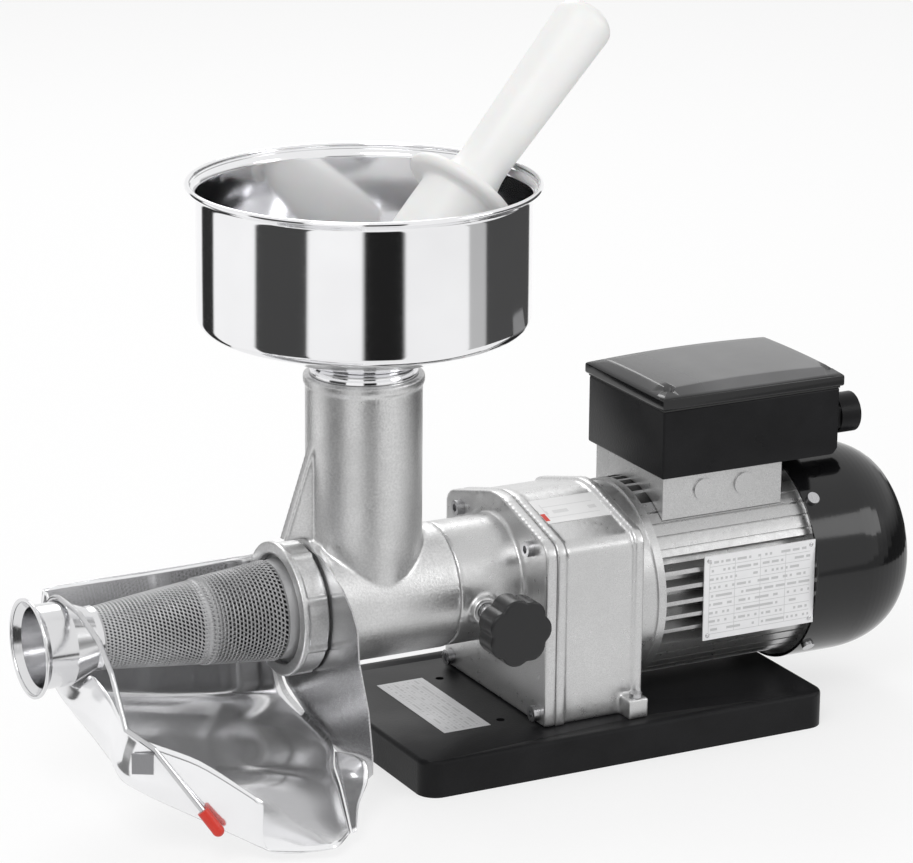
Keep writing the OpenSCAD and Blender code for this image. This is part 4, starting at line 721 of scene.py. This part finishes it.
class STRAINER_OT_cone(StrainerPiece, bpy.types.Operator):
    """Punches the cone's rows of holes"""
    bl_idname = "strainer.cone"
    bl_label = "Perforated cone"

    def execute(self, context):
        low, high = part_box("screen_cone")
        pitch = self.sizes.hole_pitch
        length = high.x - low.x
        flange = (high.z - low.z) / 2
        wide = 0.035
        narrow = 0.0208
        plain_at_spout = 0.006
        plain_at_flange = 0.014
        rows = int(length / pitch * 1.1)
        around = int(FULL_TURN * (wide + narrow) / 2 / pitch)
        form = bmesh.new()
        bmesh.ops.create_cone(form, cap_ends=False, segments=around, radius1=narrow, radius2=wide,
                              depth=length)
        sides = [e for e in form.edges if abs(e.verts[0].co.z - e.verts[1].co.z) > length / 2]
        bmesh.ops.subdivide_edges(form, edges=sides, cuts=rows - 1)
        for vert in form.verts:
            row = round((vert.co.z / length + 0.5) * rows)
            vert.co = Matrix.Rotation(math.pi / around * row, 3, "Z") @ vert.co

        # Each face of the lattice becomes a hole: it is set in, its corners are cut and it is taken out
        first = -length / 2 + plain_at_spout
        last = length / 2 - plain_at_flange
        punched = [f for f in form.faces if first < f.calc_center_median().z < last]
        bmesh.ops.inset_individual(form, faces=punched, thickness=pitch * 0.16, use_even_offset=True)
        corners = list({v for f in punched for v in f.verts})
        bmesh.ops.delete(form, geom=punched, context="FACES_ONLY")
        bmesh.ops.bevel(form, geom=corners, offset=pitch * 0.19, segments=1, profile=0.5,
                        affect="VERTICES", material=-1)
        middle = Matrix.Translation((low.x + length / 2, 0, SCREW_Z))
        along = middle @ Matrix.Rotation(math.pi / 2, 4, "Y")
        bmesh.ops.transform(form, matrix=along, verts=form.verts)
        screen = finished("perforated_cone", form, "screen_cone", ("screen_cone",), 60)
        sheet = screen.modifiers.new("sheet", "SOLIDIFY")
        sheet.thickness = self.sizes.sheet * 0.9
        sheet.offset = -1

        inside = wide - 0.002
        face = high.x - 0.0014
        collar = bmesh.new()
        turned(collar, [(inside, face), (flange, face), (flange, high.x), (inside, high.x), (inside, face)],
               (0, 0, SCREW_Z), (1, 0, 0))
        finished("cone_flange", collar, "screen_cone")
        return {"FINISHED"}


class STRAINER_OT_pusher(StrainerPiece, bpy.types.Operator):
    """Smooths the pusher's plunger, guard and handle"""
    bl_idname = "strainer.pusher"
    bl_label = "Pusher"

    def execute(self, context):
        cast_copy("pusher_moulding", "pusher", voxel=0.0016, rounds=4)
        return {"FINISHED"}


# The tray's sheet, from its back edge to its spout: shares of its length, its reach and its drop
TRAY_ROWS = (
    ((0, 0.235, 0.20), (0.03, 0.284, 0.22), (0.5, 0.29, 0.222), (TRAY_LONGEST, 0.30, 0.222)),
    ((0, 0.205, 0.06), (0.004, 0.268, 0.06), (0.5, 0.28, -0.01), (TRAY_LONGEST, 0.31, -0.06)),
    ((0, 0.187, -0.08), (0, 0.235, -0.10), (0.5, 0.27, -0.24), (TRAY_LONGEST, 0.30, -0.34)),
    ((0, 0.136, -0.212), (0, 0.173, -0.269), (0.5, 0.21, -0.45), (TRAY_LONGEST, 0.225, -0.56)),
    ((0, 0.072, -0.262), (0, 0.099, -0.37), (0.5, 0.14, -0.56), (TRAY_LONGEST, 0.15, -0.66)),
    ((0, -0.074, -0.26), (0, -0.031, -0.432), (0.5, -0.031, -0.60), (TRAY_LONGEST, -0.031, -0.72)),
    ((0, -0.22, -0.11), (0, -0.278, -0.505), (0.5, -0.278, -0.68), (TRAY_LONGEST, -0.278, -0.787)),
    ((0, -0.40, -0.145), (0, -0.46, -0.56), (0.55, -0.43, -0.73), (0.95, -0.43, -0.85)),
    ((0, -0.642, -0.27), (0, -0.642, -0.611), (0.685, -0.562, -0.783), (0.911, -0.568, -0.894)),
    ((0.22, -0.77, -0.43), (0.22, -0.776, -0.80), (0.68, -0.78, -0.90), (0.86, -0.73, -0.95)),
    ((0.43, -0.90, -0.68), (0.446, -0.914, -0.991), (0.679, -1, -0.995), (0.804, -0.895, -0.991)),
)
# The side of the spout, from the tray's edge to its free edge
SPOUT_ROWS = (
    ((0.996, -0.35, -0.805), (0.996, -0.50, -0.74)),
    ((0.955, -0.44, -0.843), (0.996, -0.63, -0.72)),
    ((0.917, -0.578, -0.887), (0.98, -0.68, -0.82)),
    ((0.866, -0.74, -0.943), (0.90, -0.77, -0.90)),
    ((0.81, -0.905, -0.984), (0.822, -0.912, -0.971)),
)
# How firmly the smooth lines leave a point, across a row and from row to row
PULL_ACROSS = 0.4
PULL_ALONG = 0.42


def through(points, place, pull):
    """The point at a place on a smooth line through the points."""
    last = len(points) - 1
    i = min(int(place), last - 1)
    t = place - i
    a, b = points[i], points[i + 1]
    before = points[i - 1] if i else a * 2 - b
    after = points[i + 2] if i + 2 <= last else b * 2 - a
    start = (b - before) * pull
    end = (after - a) * pull
    return (a * (2 * t ** 3 - 3 * t ** 2 + 1) + b * (3 * t ** 2 - 2 * t ** 3)
            + start * (t ** 3 - 2 * t ** 2 + t) + end * (t ** 3 - t ** 2))


def bend_sheet(form, shares, across_steps, along_steps):
    """Adds a grid to the form, bent smoothly through rows of points in the tray's shares."""
    rows = [[Vector(spot) for spot in row] for row in shares]
    made = bmesh.ops.create_grid(form, x_segments=across_steps, y_segments=along_steps, size=1.0)
    for vert in made["verts"]:
        across = (vert.co.x + 1) / 2 * (len(rows[0]) - 1)
        along = (vert.co.y + 1) / 2 * (len(rows) - 1)
        spot = through([through(row, across, PULL_ACROSS) for row in rows], along, PULL_ALONG)
        vert.co = Vector((TRAY_START + spot.x * TRAY_LENGTH,
                          spot.y * TRAY_REACH,
                          SCREW_Z + spot.z * TRAY_DROP))


class STRAINER_OT_tray(StrainerPiece, bpy.types.Operator):
    """Bends the tray's sheet smoothly round its corners"""
    bl_idname = "strainer.tray"
    bl_label = "Drip tray"

    def execute(self, context):
        form = bmesh.new()
        bend_sheet(form, TRAY_ROWS, 24, 60)
        bend_sheet(form, SPOUT_ROWS, 6, 24)
        piece = finished("tray_sheet", form, "drip_tray", ("drip_tray",), 80)
        sheet = piece.modifiers.new("sheet", "SOLIDIFY")
        sheet.thickness = self.sizes.sheet
        sheet.offset = 0
        return {"FINISHED"}


class STRAINER_OT_housings(StrainerPiece, bpy.types.Operator):
    """Rounds the edges of the base plate and of the terminal box"""
    bl_idname = "strainer.housings"
    bl_label = "Base and terminal box"

    def execute(self, context):
        edge = self.sizes.edge
        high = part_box("base_plate")[1]

        def on_rim(vert):
            return max(abs(vert.co.x) / high.x, abs(vert.co.y) / high.y) > 0.97

        def base_rim(e):
            on_top = min(v.co.z for v in e.verts) > high.z - 0.0001
            return on_top and all(on_rim(v) for v in e.verts)

        def long_edge(e):
            return e.calc_length() > 0.012

        edged_copy("base_moulding", "base_plate", edge * 2, 4, base_rim)
        edged_copy("box_moulding", "terminal_box", edge, 3, long_edge)
        return {"FINISHED"}


class STRAINER_OT_lid(StrainerPiece, bpy.types.Operator):
    """Arches the crown of the terminal box's lid and rounds its edges"""
    bl_idname = "strainer.lid"
    bl_label = "Lid"

    def execute(self, context):
        low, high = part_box("terminal_lid")
        centre = (low + high) / 2
        half = (high - low) / 2
        crown_foot = high.z - 0.0085
        fall_along = 0.0022
        fall_across = 0.0012

        def crown_edge(e):
            return e.calc_length() > 0.012 and min(v.co.z for v in e.verts) > low.z - 0.001

        form = node_copy("terminal_lid")
        round_edges(form, self.sizes.edge, 3, 0.5, crown_edge)
        for share in [i / 5 for i in range(-4, 5)]:
            for normal, spread in (((1, 0, 0), half.x), ((0, 1, 0), half.y)):
                everything = list(form.verts) + list(form.edges) + list(form.faces)
                bmesh.ops.bisect_plane(form, geom=everything, dist=0.000001, plane_no=normal,
                                       plane_co=centre + Vector(normal) * share * spread)
        for vert in form.verts:
            rise = max(0.0, (vert.co.z - crown_foot) / (high.z - crown_foot))
            along = (vert.co.x - centre.x) / half.x
            across = (vert.co.y - centre.y) / half.y
            vert.co.z -= rise * (along ** 2 * fall_along + across ** 2 * fall_across)
        finished("lid_moulding", form, "terminal_lid", ("terminal_lid",), 30)
        return {"FINISHED"}


class STRAINER_OT_knob(StrainerPiece, bpy.types.Operator):
    """Moulds the lobed lock knob"""
    bl_idname = "strainer.knob"
    bl_label = "Lock knob"

    def execute(self, context):
        cast_copy("knob_moulding", "lock_knob", voxel=0.0007, rounds=8)
        return {"FINISHED"}


class STRAINER_OT_rivets(StrainerPiece, bpy.types.Operator):
    """Sets the small rivets of the rating plate"""
    bl_idname = "strainer.rivets"
    bl_label = "Rivets"

    def execute(self, context):
        low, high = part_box("rating_plate")
        inset = 0.0035
        head = [(0.0, -0.0009), (0.0008, -0.0008), (0.0014, -0.0005), (0.0017, 0.0),
                (0.0017, 0.0004), (0.0, 0.0004)]
        form = bmesh.new()
        for x in (low.x + inset, high.x - inset):
            for z in (low.z + inset, high.z - inset):
                turned(form, head, (x, low.y, z), (0, 1, 0), 16)
        finished("plate_rivets", form, "rating_plate", slot="screw_steel", finish="shaft steel")
        return {"FINISHED"}


# Studio flags round the horizon: compass angle where each starts, and its brightness
STUDIO_FLAGS = (
    (-180, 0.06), (-153.7, 1.0), (-116.7, 0.015), (-89.7, 0.95), (-42.7, 0.5), (-27.7, 0.07),
    (35.3, 1.0), (101.3, 0.03), (122.3, 1.0), (167.3, 0.06),
)
FLAG_BLUR = 0.002
CEILING = (0.95, 0.95, 0.95)

# Lamps: name, place, what it aims at, width and power
LAMPS = (
    ("key", (-1.6, -1.5, 2.3), (-0.05, 0, 0.2), 1.5, 26),
    ("fill", (1.9, -1.7, 1.3), (0.05, 0, 0.15), 1.2, 9),
    ("rim", (0.5, 2.0, 1.9), (0, 0, 0.2), 1.3, 14),
)

# The camera, as fitted: its turns in degrees, its place along its own axes, and its lens
CAMERA_TURNS = (-27.694, 16.712, 0.486)
CAMERA_RIGHT = -0.03973
CAMERA_UP = 0.20851
CAMERA_AWAY = 2.80342
CAMERA_SHIFT = (-0.04034, 0, 0)
SENSOR_WIDTH = 36.0
FOCAL_LENGTH = 3952.3
PHOTO_WIDTH = 913


def ray_kinds(finish):
    """Whether a ray comes from the camera, and whether it is a reflection."""
    outputs = finish.node("ShaderNodeLightPath").socket.node.outputs
    glossy = Flow(finish, outputs["Is Glossy Ray"]).either(Flow(finish, outputs["Is Transmission Ray"]))
    return Flow(finish, outputs["Is Camera Ray"]), glossy


def reach(x, y):
    return (x * x + y * y).root()


def studio_flags(finish, x, y):
    """Bright and dark flags, as a studio has them round polished metal."""
    stops = []
    for (start, glow), (end, _) in zip(STUDIO_FLAGS, STUDIO_FLAGS[1:] + ((180, 0),)):
        stops += [((start + 180) / 360 + FLAG_BLUR, glow), ((end + 180) / 360 - FLAG_BLUR, glow)]
    return finish.ramp(y.turn(x) / FULL_TURN + 0.5, stops)


def lay_floor():
    """A white floor, with the flags in its reflections near the hopper and the motor."""
    form = bmesh.new()
    bmesh.ops.create_grid(form, x_segments=8, y_segments=8, size=6)
    mesh = bpy.data.meshes.new("floor")
    form.to_mesh(mesh)
    form.free()
    floor = add_object("floor", mesh)
    f = Finish("floor")
    f.set(Base_Color=(0.92, 0.92, 0.92), Roughness=0.5)
    camera_ray, glossy = ray_kinds(f)
    x, y, _ = f.axes()
    near_hopper = reach(x - HOPPER_X, y) < 0.4
    near_motor = reach(x - 0.25, y) < 0.45
    flags = f.mix(near_hopper.either(near_motor), studio_flags(f, x - HOPPER_X, y), CEILING)
    glow = f.node("ShaderNodeEmission", None,
                  {"Color": f.mix(glossy, (1, 1, 1), flags), "Strength": 1.0})
    own = Flow(f, f.shader.outputs[0])
    share = (camera_ray * 0.68).either(glossy)
    mixed = f.node("ShaderNodeMixShader", None, {0: share, 1: own, 2: glow})
    f.tree.links.new(mixed.socket, f.output.inputs[0])
    mesh.materials.append(f.material)


def light_world(scene):
    """White to the camera, light grey as light, and flags under a bright ceiling in reflections."""
    world = bpy.data.worlds.new("studio")
    world.use_nodes = True
    scene.world = world
    w = Finish("studio", world.node_tree)
    back = world.node_tree.nodes["Background"]
    camera_ray, glossy = ray_kinds(w)
    x, y, z = w.axes(w.node("ShaderNodeTexCoord", out=0))
    overhead = w.range(z, 0.04, 0.3, 0.0, 1.0)
    banded = w.mix(overhead, studio_flags(w, x, y), CEILING)
    lit = w.mix(glossy, (0.7, 0.7, 0.7), banded)
    w.feed(back.inputs["Color"], w.mix(camera_ray, lit, (1, 1, 1)))
    back.inputs["Strength"].default_value = 1.0


def hang_lamps():
    for name, place, aim, size, power in LAMPS:
        data = bpy.data.lights.new(name, "AREA")
        data.shape = "DISK"
        data.size = size
        data.energy = power
        lamp = add_object(name, data)
        lamp.location = place
        lamp.rotation_euler = (Vector(aim) - Vector(place)).to_track_quat("-Z", "Y").to_euler()


def place_camera(scene):
    yaw, pitch, roll = (math.radians(a) for a in CAMERA_TURNS)
    level_right = Vector((math.cos(yaw), math.sin(yaw), 0))
    level_up = Vector((-math.sin(yaw) * math.sin(pitch), math.cos(yaw) * math.sin(pitch),
                       math.cos(pitch)))
    away = Vector((math.sin(yaw) * math.cos(pitch), -math.cos(yaw) * math.cos(pitch),
                   math.sin(pitch)))
    right = level_right * math.cos(roll) + level_up * math.sin(roll)
    up = level_up * math.cos(roll) - level_right * math.sin(roll)
    spot = right * CAMERA_RIGHT + up * CAMERA_UP + away * CAMERA_AWAY + Vector(CAMERA_SHIFT)
    data = bpy.data.cameras.new("view")
    data.sensor_fit = "HORIZONTAL"
    data.sensor_width = SENSOR_WIDTH
    data.lens = SENSOR_WIDTH * FOCAL_LENGTH / PHOTO_WIDTH
    data.clip_end = 30
    camera = add_object("view", data)
    turn = Matrix((right, up, away)).transposed().to_4x4()
    camera.matrix_world = Matrix.Translation(spot) @ turn
    scene.camera = camera


class STRAINER_OT_stage(StrainerPiece, bpy.types.Operator):
    """Sets the floor, the world, the lamps and the camera"""
    bl_idname = "strainer.stage"
    bl_label = "Stage"

    def execute(self, context):
        lay_floor()
        light_world(context.scene)
        hang_lamps()
        place_camera(context.scene)
        context.scene.view_settings.view_transform = "Standard"
        return {"FINISHED"}


PIECES = (
    STRAINER_OT_finishes, STRAINER_OT_hopper, STRAINER_OT_castings, STRAINER_OT_cone,
    STRAINER_OT_pusher, STRAINER_OT_tray, STRAINER_OT_housings, STRAINER_OT_lid,
    STRAINER_OT_knob, STRAINER_OT_rivets, STRAINER_OT_stage,
)


class STRAINER_PT_panel(bpy.types.Panel):
    """Lists the pieces of the strainer"""
    bl_idname = "STRAINER_PT_panel"
    bl_label = "Tomato strainer"
    bl_space_type = "VIEW_3D"
    bl_region_type = "UI"
    bl_category = "Strainer"

    def draw(self, context):
        layout = self.layout
        for group in (context.scene.strainer_sizes, context.scene.strainer_colours):
            for name in group.__annotations__:
                layout.prop(group, name)
        for piece in PIECES:
            layout.operator(piece.bl_idname)


CLASSES = (StrainerSizes, StrainerColours) + PIECES + (STRAINER_PT_panel,)


def register():
    for each in CLASSES:
        bpy.utils.register_class(each)
    bpy.types.Scene.strainer_sizes = bpy.props.PointerProperty(type=StrainerSizes)
    bpy.types.Scene.strainer_colours = bpy.props.PointerProperty(type=StrainerColours)


def unregister():
    del bpy.types.Scene.strainer_colours
    del bpy.types.Scene.strainer_sizes
    for each in reversed(CLASSES):
        bpy.utils.unregister_class(each)


def main():
    register()
    for piece in PIECES:
        group, name = piece.bl_idname.split(".")
        getattr(getattr(bpy.ops, group), name)()


if __name__ == "__main__":
    main()
